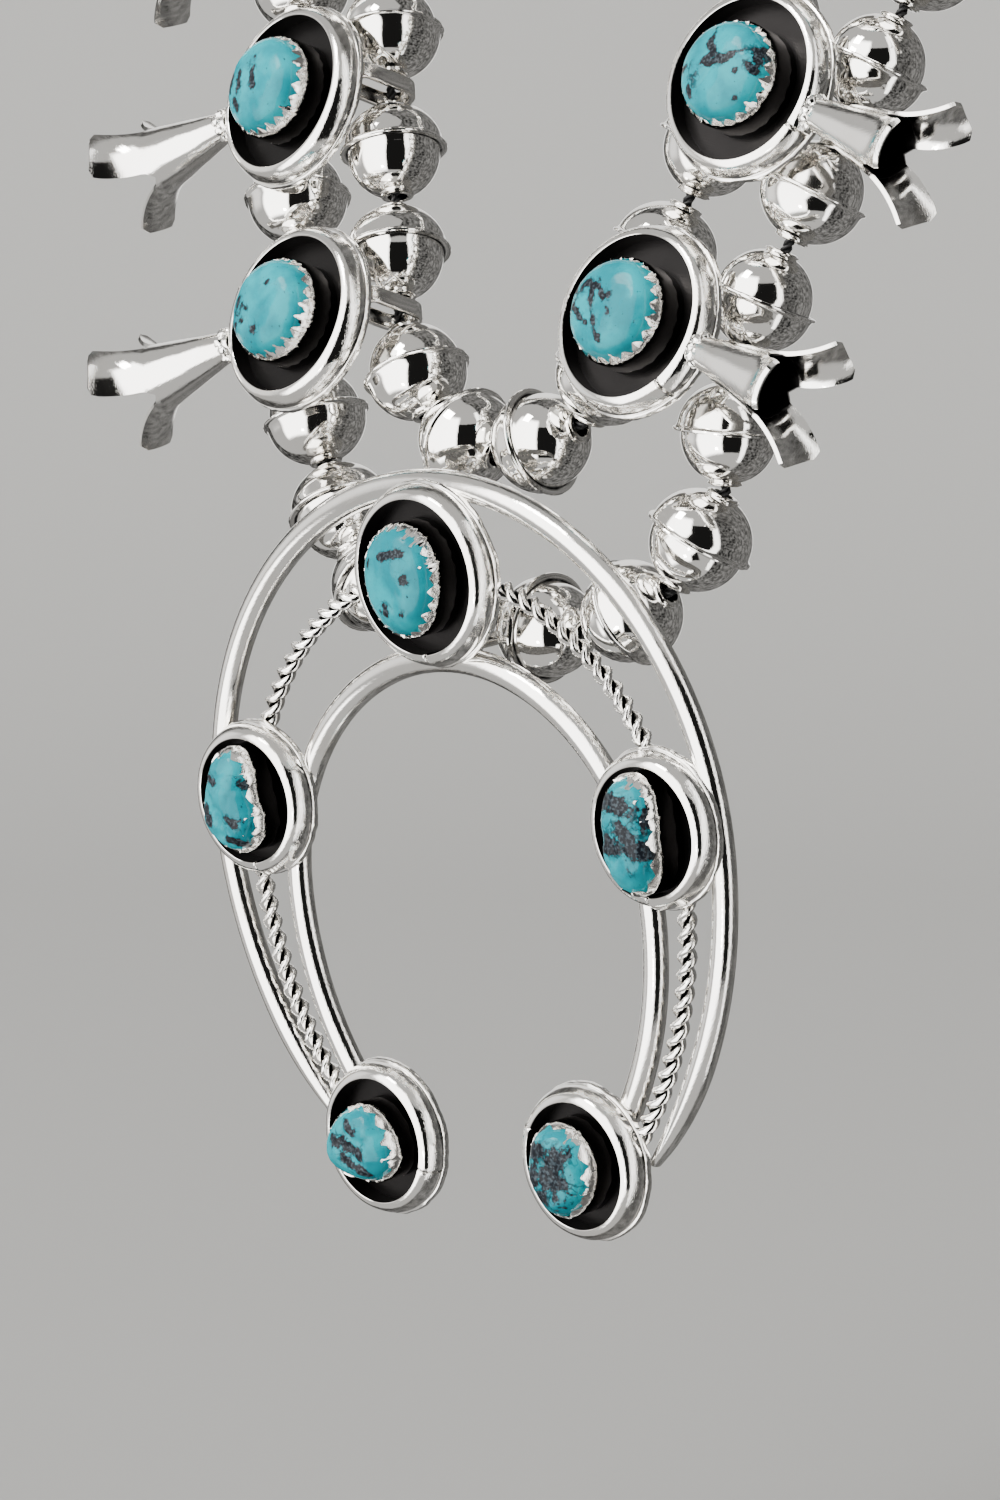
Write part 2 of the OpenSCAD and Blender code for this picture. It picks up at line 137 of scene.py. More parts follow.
def connected(count, groups):
    """A label for each point, the same for points that a chain of groups connects."""
    label = np.arange(count)
    while True:
        lowest = label[groups].min(axis=1)
        grown = label.copy()
        np.minimum.at(grown, groups.ravel(), np.repeat(lowest, groups.shape[1]))
        grown = grown[grown]
        if (grown == label).all():
            return label
        label = grown


def triangle_areas(points, triangles):
    """The normal and the area of each triangle."""
    a, b, c = (points[triangles[:, k]] for k in range(3))
    cross = np.cross(b - a, c - a)
    size = np.linalg.norm(cross, axis=1)
    return cross / np.maximum(size, 1e-15)[:, None], size / 2


def flat_base(node):
    """The middle of a stone's flat base and the way from it to the stone's top."""
    points, triangles = merged(node)
    normals, areas = triangle_areas(points, triangles)
    where = np.unique(np.round(normals, NORMAL_DIGITS), axis=0, return_inverse=True)[1].ravel()
    base = where == np.bincount(where, areas).argmax()
    middle = np.average(points[triangles[base]].mean(1), axis=0, weights=areas[base])
    front = -np.average(normals[base], axis=0, weights=areas[base])
    return Vector(middle), Vector(front).normalized()


print("points of the clasp:", len(merged("clasp")[0]))

# %% [markdown]
# A bead's solid has a narrow band round its middle, the soldered seam. The points of that band
# are the only ones further from the middle than the ball's own radius, and the flattest way
# through them gives the bead's axis.

# %% Where each bead is
BEAD_R = 5.5
SEAM_PROUD = 0.2
STRANDS = ["outer_beads_right", "outer_beads_left", "inner_beads_right", "inner_beads_left"]


def bead_places(node):
    points, triangles = merged(node)
    label = connected(len(points), triangles)
    centres, axes = [], []
    for one in np.unique(label):
        mine = points[label == one]
        rough = (mine.min(0) + mine.max(0)) / 2
        seam = mine[np.linalg.norm(mine - rough, axis=1) > (BEAD_R + SEAM_PROUD / 2) * MM]
        centres.append(seam.mean(0))
        axes.append(np.linalg.svd(seam - seam.mean(0))[2][2])
    return np.array(centres), np.array(axes)


bead_map = {node: bead_places(node) for node in STRANDS}
print("beads:", {node: len(place[0]) for node, place in bead_map.items()})

# %% [markdown]
# A blossom's frame has its middle between the two threads, x to the outer strand and the
# trumpet, and z to the front. The stone's flat base gives the middle and the front, and the
# far part of the metal gives the way of the trumpet. The pendant's frame has its middle in
# the bail, x along the hinge and z to the front.

# %% Where the blossoms and the pendant are
FRONT_Z = 6.3
PLATE_T = 0.8
STONE_CLEAR = 0.12
TRUMPET_REACH = 16


def local_frame(origin, x, z):
    turn = Matrix((x, z.cross(x), z)).transposed().to_4x4()
    return Matrix.Translation(origin) @ turn @ Matrix.Scale(MM, 4)


def blossom_frame(name):
    middle, front = flat_base("stone_" + name)
    points, triangles = merged("blossom_" + name)
    areas = triangle_areas(points, triangles)[1]
    spot = points[triangles].mean(1) - np.array(middle)
    spot -= np.outer(spot @ np.array(front), np.array(front))
    far = np.linalg.norm(spot, axis=1) > TRUMPET_REACH * MM
    out = Vector(np.average(spot[far], axis=0, weights=areas[far])).normalized()
    return local_frame(middle - front * (FRONT_Z + PLATE_T + STONE_CLEAR) * MM, out, front)


BLOSSOMS = [node[len("blossom_"):] for node in sorted(frame["nodes"]) if node.startswith("blossom_")]
blossom_frames = {name: blossom_frame(name) for name in BLOSSOMS}
naja_front = flat_base("naja_stone_1")[1]
naja_frame = local_frame(bail, Vector(swing["axis"]), naja_front)
print(len(BLOSSOMS), "blossoms; the pendant leans",
      round(math.degrees(math.atan2(naja_front.z, -naja_front.y)), 2), "degrees")

# %% [markdown]
# A few small helpers keep the trees of nodes readable. One adds a node and feeds its inputs in
# a single line, for shader trees and geometry trees alike. An output can be calculated with
# like a number: each plus, minus, times or power adds one Math node.

# %% Helpers for node trees
class Output:
    """What a node gives out. Arithmetic on it adds Math nodes to its tree."""

    def __init__(self, socket):
        self.socket = socket
        self.tree = socket.id_data

    def maths(self, operation, *others, clamp=False):
        return made(self.tree, "ShaderNodeMath", dict(enumerate((self, *others))),
                    operation=operation, use_clamp=clamp)

    def __rsub__(self, other):
        return made(self.tree, "ShaderNodeMath", {0: other, 1: self}, operation="SUBTRACT")

    __add__ = partialmethod(maths, "ADD")
    __sub__ = partialmethod(maths, "SUBTRACT")
    __mul__ = partialmethod(maths, "MULTIPLY")
    __truediv__ = partialmethod(maths, "DIVIDE")
    __pow__ = partialmethod(maths, "POWER")
    __abs__ = partialmethod(maths, "ABSOLUTE")


def pick(sockets, key):
    """The socket with a number or a name, or for None the first one in use."""
    if isinstance(key, int):
        return sockets[key]
    return next(s for s in sockets if s.enabled and key in (None, s.name))


def feed(node, values):
    """Sets inputs of a node, each to another node's output or to a plain value."""
    for key, value in values.items():
        entry = pick(node.inputs, key)
        if isinstance(value, Output):
            node.id_data.links.new(value.socket, entry)
        else:
            entry.default_value = value


def add(tree, kind, values=None, **settings):
    node = tree.nodes.new(kind)
    for name, value in settings.items():
        setattr(node, name, value)
    feed(node, values or {})
    return node


def output(node, key=None):
    return Output(pick(node.outputs, key))


def made(tree, kind, values=None, key=None, **settings):
    """Adds a node and gives one of its outputs."""
    return output(add(tree, kind, values, **settings), key)


def vector_maths(operation, first, second):
    return made(first.tree, "ShaderNodeVectorMath", {0: first, 1: second}, operation=operation)


def scaled(vector, factor):
    return made(vector.tree, "ShaderNodeVectorMath", {0: vector, "Scale": factor}, operation="SCALE")


# %% Helpers for groups with named sockets
FLOAT, WHOLE, THING = "NodeSocketFloat", "NodeSocketInt", "NodeSocketObject"
GEOMETRY, MATERIAL = "NodeSocketGeometry", "NodeSocketMaterial"


def new_tree(name, kind, inputs, outputs):
    """A node group and its inputs by name. Sockets are given as name, type and value or None."""
    tree = bpy.data.node_groups.new(name, kind)
    for way, sockets in (("INPUT", inputs), ("OUTPUT", outputs)):
        for label, socket_type, value in sockets:
            entry = tree.interface.new_socket(label, in_out=way, socket_type=socket_type)
            if value is not None:
                entry.default_value = value
    return tree, {socket.name: Output(socket) for socket in tree.nodes.new("NodeGroupInput").outputs}


def geometry_tree(name, inputs):
    shape = ("Geometry", GEOMETRY, None)
    return new_tree(name, "GeometryNodeTree", [shape, *inputs, ("Finish", MATERIAL, None)], [shape])


def finish_tree(given, geometry):
    """The end of each geometry tree: real geometry with its material."""
    tree = geometry.tree
    real = made(tree, "GeometryNodeRealizeInstances", {"Geometry": geometry})
    dressed = made(tree, "GeometryNodeSetMaterial", {"Geometry": real, "Material": given["Finish"]})
    add(tree, "NodeGroupOutput", {"Geometry": dressed})
    print("the tree %s has %d nodes" % (tree.name, len(tree.nodes)))


def curve_of(geometry):
    return made(geometry.tree, "GeometryNodeMeshToCurve", {"Mesh": geometry}, "Curve")


# %% [markdown]
# Geometry trees are used through one function. It puts a tree on a throwaway object, sets the
# tree's inputs by their identifiers before anything is evaluated, and keeps only the plain
# mesh that comes out.

# %% Growing a mesh from a tree
def plain_object(name, mesh):
    thing = bpy.data.objects.new(name, mesh)
    bpy.context.scene.collection.objects.link(thing)
    return thing


def grown(tree, base, values):
    thing = plain_object("growing", base)
    modifier = thing.modifiers.new("tree", "NODES")
    modifier.node_group = tree
    names = {item.name: item.identifier for item in tree.interface.items_tree
             if item.item_type == "SOCKET" and item.in_out == "INPUT"}
    for label, value in values.items():
        modifier[names[label]] = value
    bpy.context.view_layer.update()
    ready = thing.evaluated_get(bpy.context.evaluated_depsgraph_get())
    mesh = bpy.data.meshes.new_from_object(ready)
    bpy.data.objects.remove(thing)
    return mesh


def line_mesh(points, closed):
    mesh = bpy.data.meshes.new("line")
    count = len(points)
    edges = [(i, (i + 1) % count) for i in range(count if closed else count - 1)]
    mesh.from_pydata([(*p, 0)[:3] for p in points], edges, [])
    return mesh


# %% [markdown]
# Everything that isn't grown by a tree is a part: points, faces and a number from 0 to 1 for
# each point that says how black the silver is there. Silversmiths blacken the floor of a
# shadowbox and the throat of a trumpet on purpose and polish the rest, so the material mixes
# the two finishes by this number. The same number also carries painted shade: a painted
# shadow along the step under each bead's brim, and painted shade at the foot of each bezel.

# %% Parts, and pieces joined from them
OXIDE_AND_SHADE = "oxide_and_shade"


def part(points, faces, oxide_and_shade=0.0):
    points = np.array(points, float).reshape(-1, 3)
    return points, list(faces), np.broadcast_to(np.array(oxide_and_shade, float), len(points)).copy()


def part_of_mesh(mesh, oxide_and_shade=0.0):
    return part(values_of(mesh.vertices, "co"), [tuple(f.vertices) for f in mesh.polygons], oxide_and_shade)


def moved(one, matrix):
    turn = np.array(matrix)
    return one[0] @ turn[:3, :3].T + turn[:3, 3], one[1], one[2]


def extent(one):
    """A part's lowest and highest corner, to print."""
    return "from %s to %s" % (one[0].min(0).round(2), one[0].max(0).round(2))


def set_numbers(mesh, name, values):
    mesh.attributes.new(name, "FLOAT", "POINT").data.foreach_set("value", values)


def mesh_of_parts(name, parts, matrix=Matrix.Identity(4), sharp=35):
    """One mesh of several closed parts, with its faces outwards and its hard edges sharp."""
    faces, start = [], 0
    for one in parts:
        faces += [tuple(start + i for i in face) for face in one[1]]
        start += len(one[0])
    mesh = bpy.data.meshes.new(name)
    mesh.from_pydata(np.concatenate([one[0] for one in parts]).tolist(), [], faces)
    set_numbers(mesh, OXIDE_AND_SHADE, np.concatenate([one[2] for one in parts]))
    mesh.transform(matrix)
    work = bmesh.new()
    work.from_mesh(mesh)
    bmesh.ops.recalc_face_normals(work, faces=work.faces)
    work.to_mesh(mesh)
    work.free()
    mesh.shade_smooth()
    mesh.set_sharp_from_angle(angle=math.radians(sharp))
    return mesh


def finished(name, mesh, material, body, slot, *nodes):
    """A finished piece: it takes a material, rides on its body and stands for its CAD nodes."""
    piece = plain_object(name, mesh)
    if not mesh.materials:
        mesh.materials.append(material)
    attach(piece, body)
    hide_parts(*nodes)
    return piece


# %% [markdown]
# Silver is a mirror, so its colour in the render is the room's colour. What makes it look like
# worked metal is small: fine polishing scratches that turn the highlights soft at their edges,
# slow dents that bend the reflections, and a brownish film where no polishing reaches.
# Every silver finish needs all three, so they are one node group with its own values in each.

# %% Patterns and mixes that the materials share
def object_place(tree):
    return made(tree, "ShaderNodeTexCoord", key="Object")


def noise_at(place, scale, detail=2.0, roughness=0.5):
    return made(place.tree, "ShaderNodeTexNoise", {
        "Vector": place, "Scale": scale, "Detail": detail, "Roughness": roughness})


def mapped(value, start, end, low=0.0, high=1.0, soft=False):
    """A value carried over to low..high as it goes from start to end, and held beyond them."""
    return made(value.tree, "ShaderNodeMapRange", {
        "Value": value, "From Min": start, "From Max": end, "To Min": low, "To Max": high},
        interpolation_type="SMOOTHSTEP" if soft else "LINEAR")


def mixed(share, a, b):
    """A colour between a and b."""
    return made(share.tree, "ShaderNodeMix", {"Factor": share, "A": a, "B": b}, data_type="RGBA")


def between(share, a, b):
    """A number between a and b."""
    return made(share.tree, "ShaderNodeMix", {0: share, 2: a, 3: b}, data_type="FLOAT")


def new_material(name):
    """A material, its tree and its shader."""
    material = bpy.data.materials.new(name)
    material.use_nodes = True
    return material, material.node_tree, material.node_tree.nodes["Principled BSDF"]


# %% The wear of polished silver, as a node group
SCRATCH_WAYS = [((0.4, 0.2, 0.9), 900), ((1.9, 0.7, 0.3), 1100), ((2.6, 1.4, 2.0), 800)]
MIRROR, SMUDGED = 0.012, 0.26
FILM_FROM = 0.48
wear, given = new_tree("silver wear", "ShaderNodeTree", [
    ("Scratches", FLOAT, 0.15), ("Dents", FLOAT, 0.05), ("Film", FLOAT, 0.3),
], [("Roughness", FLOAT, None), ("Film", FLOAT, None), ("Height", FLOAT, None)])
wear_place = object_place(wear)
hair = [noise_at(made(wear, "ShaderNodeMapping", {
    "Vector": wear_place, "Rotation": turn, "Scale": (size, size * 14, size * 3)}), scale=1.0)
    for turn, size in SCRATCH_WAYS]
hairs = hair[0] + hair[1] + hair[2]
smudge = noise_at(wear_place, scale=160.0, detail=4.0)
waves = noise_at(wear_place, scale=320.0, detail=1.0)
rough = smudge ** 3.0 * SMUDGED + MIRROR
add(wear, "NodeGroupOutput", {
    "Roughness": hairs * rough * given["Scratches"] + rough,
    "Film": smudge.maths("SUBTRACT", FILM_FROM, clamp=True) * given["Film"],
    "Height": hairs * given["Scratches"] + waves * given["Dents"]})
print("silver wear has", len(wear.nodes), "nodes")

# %% Silver finishes
POLISHED = (0.93, 0.915, 0.885, 1)
WARM_FILM = (0.62, 0.52, 0.40, 1)
# The black of oxidised silver; the same black paints shade under bead brims and at bezel feet.
BLACK_OXIDE_AND_SHADE = (0.018, 0.017, 0.017, 1)
BLACK_ROUGHNESS = 0.34
SCRATCH_DEPTH = 0.06 * MM


def silver(name, scratches, dents, film, bump):
    """Polished silver that turns black where a piece's own number of oxide and painted shade is high."""
    material, tree, shader = new_material(name)
    worn = add(tree, "ShaderNodeGroup", {"Scratches": scratches, "Dents": dents, "Film": film},
               node_tree=wear)
    oxide_and_shade = made(tree, "ShaderNodeAttribute", key="Fac", attribute_name=OXIDE_AND_SHADE)
    patch = noise_at(object_place(tree), scale=700.0, detail=5.0)
    # This mask mixes real oxide with the painted shade that the same number carries.
    blackened_and_shaded = mapped((patch - 0.5) * 0.35 + oxide_and_shade, 0.38, 0.62, soft=True)
    relief = made(tree, "ShaderNodeBump", {
        "Height": output(worn, "Height"), "Strength": bump, "Distance": SCRATCH_DEPTH})
    feed(shader, {
        "Base Color": mixed(blackened_and_shaded, mixed(output(worn, "Film"), POLISHED, WARM_FILM), BLACK_OXIDE_AND_SHADE),
        "Roughness": between(blackened_and_shaded, output(worn, "Roughness"), BLACK_ROUGHNESS),
        "Normal": relief, "Metallic": 1.0})
    return material


bead_silver = silver("bead_silver", scratches=0.10, dents=0.9, film=0.5, bump=0.22)
sheet_silver = silver("sheet_silver", scratches=0.35, dents=1.0, film=0.9, bump=0.3)
wire_silver = silver("wire_silver", scratches=0.35, dents=0.6, film=0.7, bump=0.3)
print("silver finishes:", bead_silver.name, sheet_silver.name, wire_silver.name)

# %% [markdown]
# A bead is two domed halves soldered edge to edge. One half is larger and flares at its edge to
# a thin brim, and the smaller half sits inside that brim with a clear step. Each end has a small
# ringed collar round its hole. All of that is one profile turned round the axis. The strings are
# then made by Geometry Nodes: a tree sets one bead on every measured place, turns it along its
# own axis, spins it by a random angle, and makes it a hair larger or smaller than its neighbour.

# %% Turning a profile
def round_angles(count):
    return np.arange(count) * 2 * math.pi / count


def ring_faces(rows, sides, closed=False):
    """Faces from each ring of points to the next, and if closed from the last to the first."""
    total = rows * sides
    return [(row + i, row + (i + 1) % sides, (row + sides + (i + 1) % sides) % total,
             (row + sides + i) % total)
            for row in range(0, total if closed else total - sides, sides) for i in range(sides)]


def turned(profile, angles, swell=0.0):
    """Points and faces of a closed profile turned round z. swell moves rings out, row by angle."""
    radius, height = np.array(profile).T[:, :, None]
    reach = radius + np.where(radius > 0, swell, 0.0) * np.ones(len(angles))
    points = np.stack([reach * np.cos(angles), reach * np.sin(angles), height + 0 * reach], axis=2)
    return points.reshape(-1, 3), ring_faces(len(profile), len(angles), closed=True)


# %% The bead
BEAD_SIDES = 48
BRIM_R = 5.92
SMALL_R = 5.08
LARGE_R = 5.5
DOME_H = 5.28
DOME_END = 71
DOME_RISE = 0.18
DOME_ROWS = 11
HOLE_BLACK, HOLE_BLACK_Z, HOLE_BLACK_FADE = 0.42, 5.0, 0.35
# Under the brim the step is painted dark to STEP_PAINTED_SHADE: a painted shadow of the brim.
STEP_PAINTED_SHADE, STEP_HALF_W, STEP_HALF_H = 0.6, 0.08, 0.13
BRIM = [(5.53, -0.52), (5.58, -0.4), (5.7, -0.29), (BRIM_R - 0.05, -0.21), (BRIM_R, -0.1),
        (BRIM_R - 0.03, 0.03), (BRIM_R - 0.12, 0.1), (SMALL_R + 0.14, 0.07), (SMALL_R + 0.02, 0.12)]
COLLAR = [(1.78, 5.16), (1.86, 5.26), (1.78, 5.36), (1.55, 5.37), (1.62, 5.44), (1.5, 5.5), (1.2, 5.5),
          (1.08, 5.42)]


def dome_profile(radius, start):
    """A dome from its edge up to the collar."""
    return [(radius * math.cos(a), DOME_RISE * math.cos(a) + DOME_H * math.sin(a))
            for a in np.radians(np.linspace(start, DOME_END, DOME_ROWS))]


def bead_mesh():
    """From the large half's hole down its dome, over the brim and up the small half's dome."""
    large = [(radius, -height) for radius, height in reversed(dome_profile(LARGE_R, 5) + COLLAR)]
    points, faces = turned(large + BRIM + dome_profile(SMALL_R, 0) + COLLAR, round_angles(BEAD_SIDES))
    away, level = np.linalg.norm(points[:, :2], axis=1), np.abs(points[:, 2])
    blackened_and_shaded = np.clip((level - HOLE_BLACK_Z) / HOLE_BLACK_FADE, 0, 1) * HOLE_BLACK
    shaded_step = np.abs(away - SMALL_R - STEP_HALF_W) < STEP_HALF_W
    # Painted shade: the step under the brim is painted dark, as the shadow that the brim casts.
    blackened_and_shaded[shaded_step & (level < STEP_HALF_H)] = STEP_PAINTED_SHADE
    mesh = mesh_of_parts("bead", [part(points, faces, blackened_and_shaded)], Matrix.Scale(MM, 4), sharp=28)
    mesh.materials.append(bead_silver)
    return mesh


bead_shape = bead_mesh()
print("a bead has", len(bead_shape.polygons), "faces")

# %% The tree that strings the beads
stringing, given = geometry_tree("string of beads", [
    ("Bead", THING, None), ("Smallest", FLOAT, 0.985), ("Tilt", FLOAT, 0.05), ("Seed", WHOLE, 1)])


def chance(low, high, data_type="FLOAT"):
    """A random number or vector for each bead, the same in each run."""
    return made(stringing, "FunctionNodeRandomValue", {"Min": low, "Max": high, "Seed": given["Seed"]},
                "Value", data_type=data_type)


along = made(stringing, "GeometryNodeInputNamedAttribute", {"Name": "axis"}, "Attribute",
             data_type="FLOAT_VECTOR")
wobble = chance((-1.0, -1.0, -1.0), (1.0, 1.0, 1.0), "FLOAT_VECTOR")
leaning = vector_maths("ADD", along, scaled(wobble, given["Tilt"]))
aligned = made(stringing, "FunctionNodeAlignRotationToVector", {"Vector": leaning}, axis="Z")
spin = made(stringing, "FunctionNodeAxisAngleToRotation", {
    "Axis": (0.0, 0.0, 1.0), "Angle": chance(0.0, 2 * math.pi)})
facing = made(stringing, "FunctionNodeRotateRotation", {"Rotation": aligned, "Rotate By": spin},
              rotation_space="LOCAL")
one_bead = made(stringing, "GeometryNodeObjectInfo", {"Object": given["Bead"]}, "Geometry")
finish_tree(given, made(stringing, "GeometryNodeInstanceOnPoints", {
    "Points": given["Geometry"], "Instance": one_bead, "Rotation": facing,
    "Scale": chance(given["Smallest"], 1.0)}))

# %% Stringing the four lengths of beads
bead_thing = plain_object("bead", bead_shape)


def string_of_beads(node, seed):
    centres, axes = bead_map[node]
    base = bpy.data.meshes.new("places")
    base.from_pydata(centres.tolist(), [], [])
    base.attributes.new("axis", "FLOAT_VECTOR", "POINT").data.foreach_set("vector", axes.ravel())
    mesh = grown(stringing, base, {"Bead": bead_thing, "Seed": seed, "Finish": bead_silver})
    return finished("strung_" + node, mesh, bead_silver, "strands", "bead_silver", node)


for seed, node in enumerate(STRANDS, 3):
    print(node, "has", len(string_of_beads(node, seed).data.polygons), "faces")
bpy.data.objects.remove(bead_thing)

# %% [markdown]
# The beads hang on black twisted thread, which shows only in the gaps. Its path is measured on
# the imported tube: the tube's rings are groups of points that lie close together, and walking
# from ring to ring gives the line through their middles. The same tree later makes the
# pendant's twisted wire, so it takes the number of strands, their radius and the turns in a
# length as inputs.

# %% The tree that twists strands round a path
twisting, given = geometry_tree("twisted strands", [
    ("Strands", WHOLE, 2), ("Strand Radius", FLOAT, 0.5), ("Spread", FLOAT, 0.5),
    ("Turns per Length", FLOAT, 0.2), ("Step", FLOAT, 0.4), ("Sides", WHOLE, 8)])
stepped = made(twisting, "GeometryNodeResampleCurve", {
    "Curve": curve_of(given["Geometry"]), "Length": given["Step"]}, mode="LENGTH")
run = made(twisting, "GeometryNodeSplineParameter", key="Length")
tilted = made(twisting, "GeometryNodeSetCurveTilt", {
    "Curve": stepped, "Tilt": run * given["Turns per Length"] * (2 * math.pi)})
angle = made(twisting, "GeometryNodeInputIndex") / given["Strands"] * (2 * math.pi)
spot = made(twisting, "ShaderNodeCombineXYZ", {"X": angle.maths("COSINE"), "Y": angle.maths("SINE")})
spots = made(twisting, "GeometryNodePoints", {
    "Count": given["Strands"], "Position": scaled(spot, given["Spread"])})
ring = made(twisting, "GeometryNodeCurvePrimitiveCircle", {
    "Resolution": given["Sides"], "Radius": given["Strand Radius"]}, "Curve", mode="RADIUS")
rings = made(twisting, "GeometryNodeInstanceOnPoints", {"Points": spots, "Instance": ring})
section = made(twisting, "GeometryNodeRealizeInstances", {"Geometry": rings})
swept = made(twisting, "GeometryNodeCurveToMesh", {
    "Curve": tilted, "Profile Curve": section, "Fill Caps": True})
finish_tree(given, made(twisting, "GeometryNodeSetShadeSmooth", {"Geometry": swept}))

# %% The thread's path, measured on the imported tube
RING_EDGE = 1.0


def tube_path(node):
    """The middles of a tube's rings, in order round its loop."""
    points, triangles = merged(node)
    edges = np.concatenate([triangles[:, [0, 1]], triangles[:, [1, 2]], triangles[:, [2, 0]]])
    length = np.linalg.norm(points[edges[:, 0]] - points[edges[:, 1]], axis=1)
    ring_of = connected(len(points), edges[length < RING_EDGE * MM])
    names = np.unique(ring_of)
    near = {name: set() for name in names}
    for a, b in ring_of[edges[length >= RING_EDGE * MM]]:
        near[a].add(b)
        near[b].add(a)
    order, last = [names[0]], None
    while True:
        ahead = [name for name in near[order[-1]] if name not in (last, order[-1])]
        last = order[-1]
        if not ahead or (len(order) > 2 and names[0] in ahead):
            break
        order.append(ahead[0])
    return np.array([points[ring_of == name].mean(0) for name in order])


thread_paths = {node: tube_path(node) for node in ("outer_thread", "inner_thread")}
print("rings on the threads:", {node: len(path) for node, path in thread_paths.items()})

# %% The black thread
THREAD_STRAND = 0.3
THREAD_TURNS = 0.4
THREAD_STEP = 0.5

thread_black, thread_tree, thread_shader = new_material("thread_black")
fluff = noise_at(object_place(thread_tree), scale=4000.0)
feed(thread_shader, {"Roughness": 0.55,
                     "Base Color": mixed(fluff, (0.004, 0.004, 0.004, 1), (0.03, 0.03, 0.032, 1))})

for node, path in thread_paths.items():
    mesh = grown(twisting, line_mesh(path, True), {
        "Strands": 3, "Strand Radius": THREAD_STRAND * MM, "Spread": THREAD_STRAND * MM,
        "Turns per Length": THREAD_TURNS / MM, "Step": THREAD_STEP * MM, "Sides": 6,
        "Finish": thread_black})
    finished("twisted_" + node, mesh, thread_black, "strands", "thread", node)
    print(node, "has", len(mesh.polygons), "faces")

# %% [markdown]
# A shadowbox is a round plate with a heavy bowed band soldered on it. The band is highest at its
# inner edge and falls outwards in a curve. It was bent from a strip, so its ends meet in a small
# notch with a step, and the plate was cut by hand, so its edge wanders. Both are turned profiles
# whose radius is moved a little by angle. The floor and the inside of the band are blackened,
# and the polish begins again at the rim.

# %% The section of a shadowbox's band
BAND_WALL = 1.45
RIM_Z = 3.05
BAND_FACE = [(0.62, 35), (0.5, 60), (0.8, 67), (0.65, 92), (0.4, 98)]
FACE_STEPS = 3


def band_profile():
    """A band's section as radius, height and blackness: up its inside, then down its bowed face.

    A row of BAND_FACE is a stretch's length and the slope in degrees that it bends to.
    """
    points = [(-BAND_WALL, 0.7, 1.0), (-BAND_WALL, 1.6, 1.0), (-BAND_WALL, 2.4, 1.0),
              (-BAND_WALL + 0.01, RIM_Z - 0.16, 0.7), (-BAND_WALL + 0.04, RIM_Z - 0.04, 0.0)]
    radius, height, slope = -BAND_WALL + 0.1, RIM_Z, 0
    points.append((radius, height, 0.0))
    for length, end in BAND_FACE:
        for k in range(FACE_STEPS):
            a = math.radians(slope + (end - slope) * (k + 0.5) / FACE_STEPS)
            radius += length / FACE_STEPS * math.cos(a)
            height -= length / FACE_STEPS * math.sin(a)
            points.append((radius, height, 0.55 if height < 0.9 else 0.0))
        slope = end
    return np.array(points)


BAND_PROFILE = band_profile()
print("a band's section has", len(BAND_PROFILE), "points")


# %% The band and the plate of a shadowbox
PLATE_LIP = 0.3
SEAM_CLOSE = [-4, -2.4, -1.5, -0.9, -0.5, 0, 0.5, 0.9, 1.5, 2.4, 4]
SEAM_ZONE = 4.5
NOTCH = 0.36
NOTCH_TURN = 0.9
NOTCH_DIP = 0.2
NOTCH_HEIGHT = 0.7
SEAM_STEP = 0.2
SEAM_STEP_TURN = 11
INNER_EDGE = -1.0
INNER_SHARE = 0.3


def turn_from(angles, start):
    """How far round angles are from a start, from minus half a turn to half a turn."""
    return (angles - start + math.pi) % (2 * math.pi) - math.pi


def seam_angles(seam, count=112):
    """Angles round a ring, closer together at the seam."""
    even = round_angles(count) + 0.5 * math.pi / count
    apart = np.abs(turn_from(even, seam)) > math.radians(SEAM_ZONE)
    return np.sort(np.concatenate([even[apart], (seam + np.radians(SEAM_CLOSE)) % (2 * math.pi)]))


def drift(*spot, pace=1.0):
    """A number that changes slowly from spot to spot, the same in each run."""
    return noise.noise(Vector(spot) * pace)


def wander(angles, seed, size, pace):
    """A slow random change round a ring."""
    return size * np.array([drift(pace * math.cos(a), pace * math.sin(a), seed) for a in angles])


def box_parts(diameter, seam, seed):
    radius = diameter / 2
    angles = seam_angles(seam)
    at_notch = np.exp(-(np.degrees(np.abs(turn_from(angles, seam))) / NOTCH_TURN) ** 2)
    after = np.degrees((angles - seam) % (2 * math.pi))
    uneven = SEAM_STEP * np.exp(-after / SEAM_STEP_TURN) - NOTCH * at_notch
    uneven += wander(angles, seed, size=0.05, pace=2.0)
    swell = np.outer(np.where(BAND_PROFILE[:, 0] < INNER_EDGE, INNER_SHARE, 1.0), uneven)
    points, faces = turned(BAND_PROFILE[:, :2] + (radius, 0), angles, swell)
    at_rim = points[:, 2] > RIM_Z - NOTCH_HEIGHT
    points[:, 2] -= at_rim * np.tile(NOTCH_DIP * at_notch, len(BAND_PROFILE))
    band = part(points, faces, np.repeat(BAND_PROFILE[:, 2], len(angles)))
    edge = radius + PLATE_LIP
    plate_profile = [(0.0, 0.0), (edge - 0.15, 0.0), (edge, 0.12), (edge + 0.02, 0.5), (edge - 0.1, 0.74),
                     (edge - 0.35, PLATE_T), (radius - BAND_WALL, PLATE_T), (0.0, PLATE_T)]
    plate_oxide = [0.1, 0.1, 0.0, 0.0, 0.0, 0.3, 1.0, 1.0]
    filed = wander(angles, seed + 5, size=0.16, pace=3.2) + wander(angles, seed + 9, size=0.12, pace=11.0)
    points, faces = turned(plate_profile, angles, np.outer([0, 1, 1, 1, 1, 1, 0, 0], filed))
    return [band, part(points, faces, np.repeat(plate_oxide, len(angles)))]


print("the band of a 20 mm box reaches", extent(box_parts(20, 0, 1)[0]))

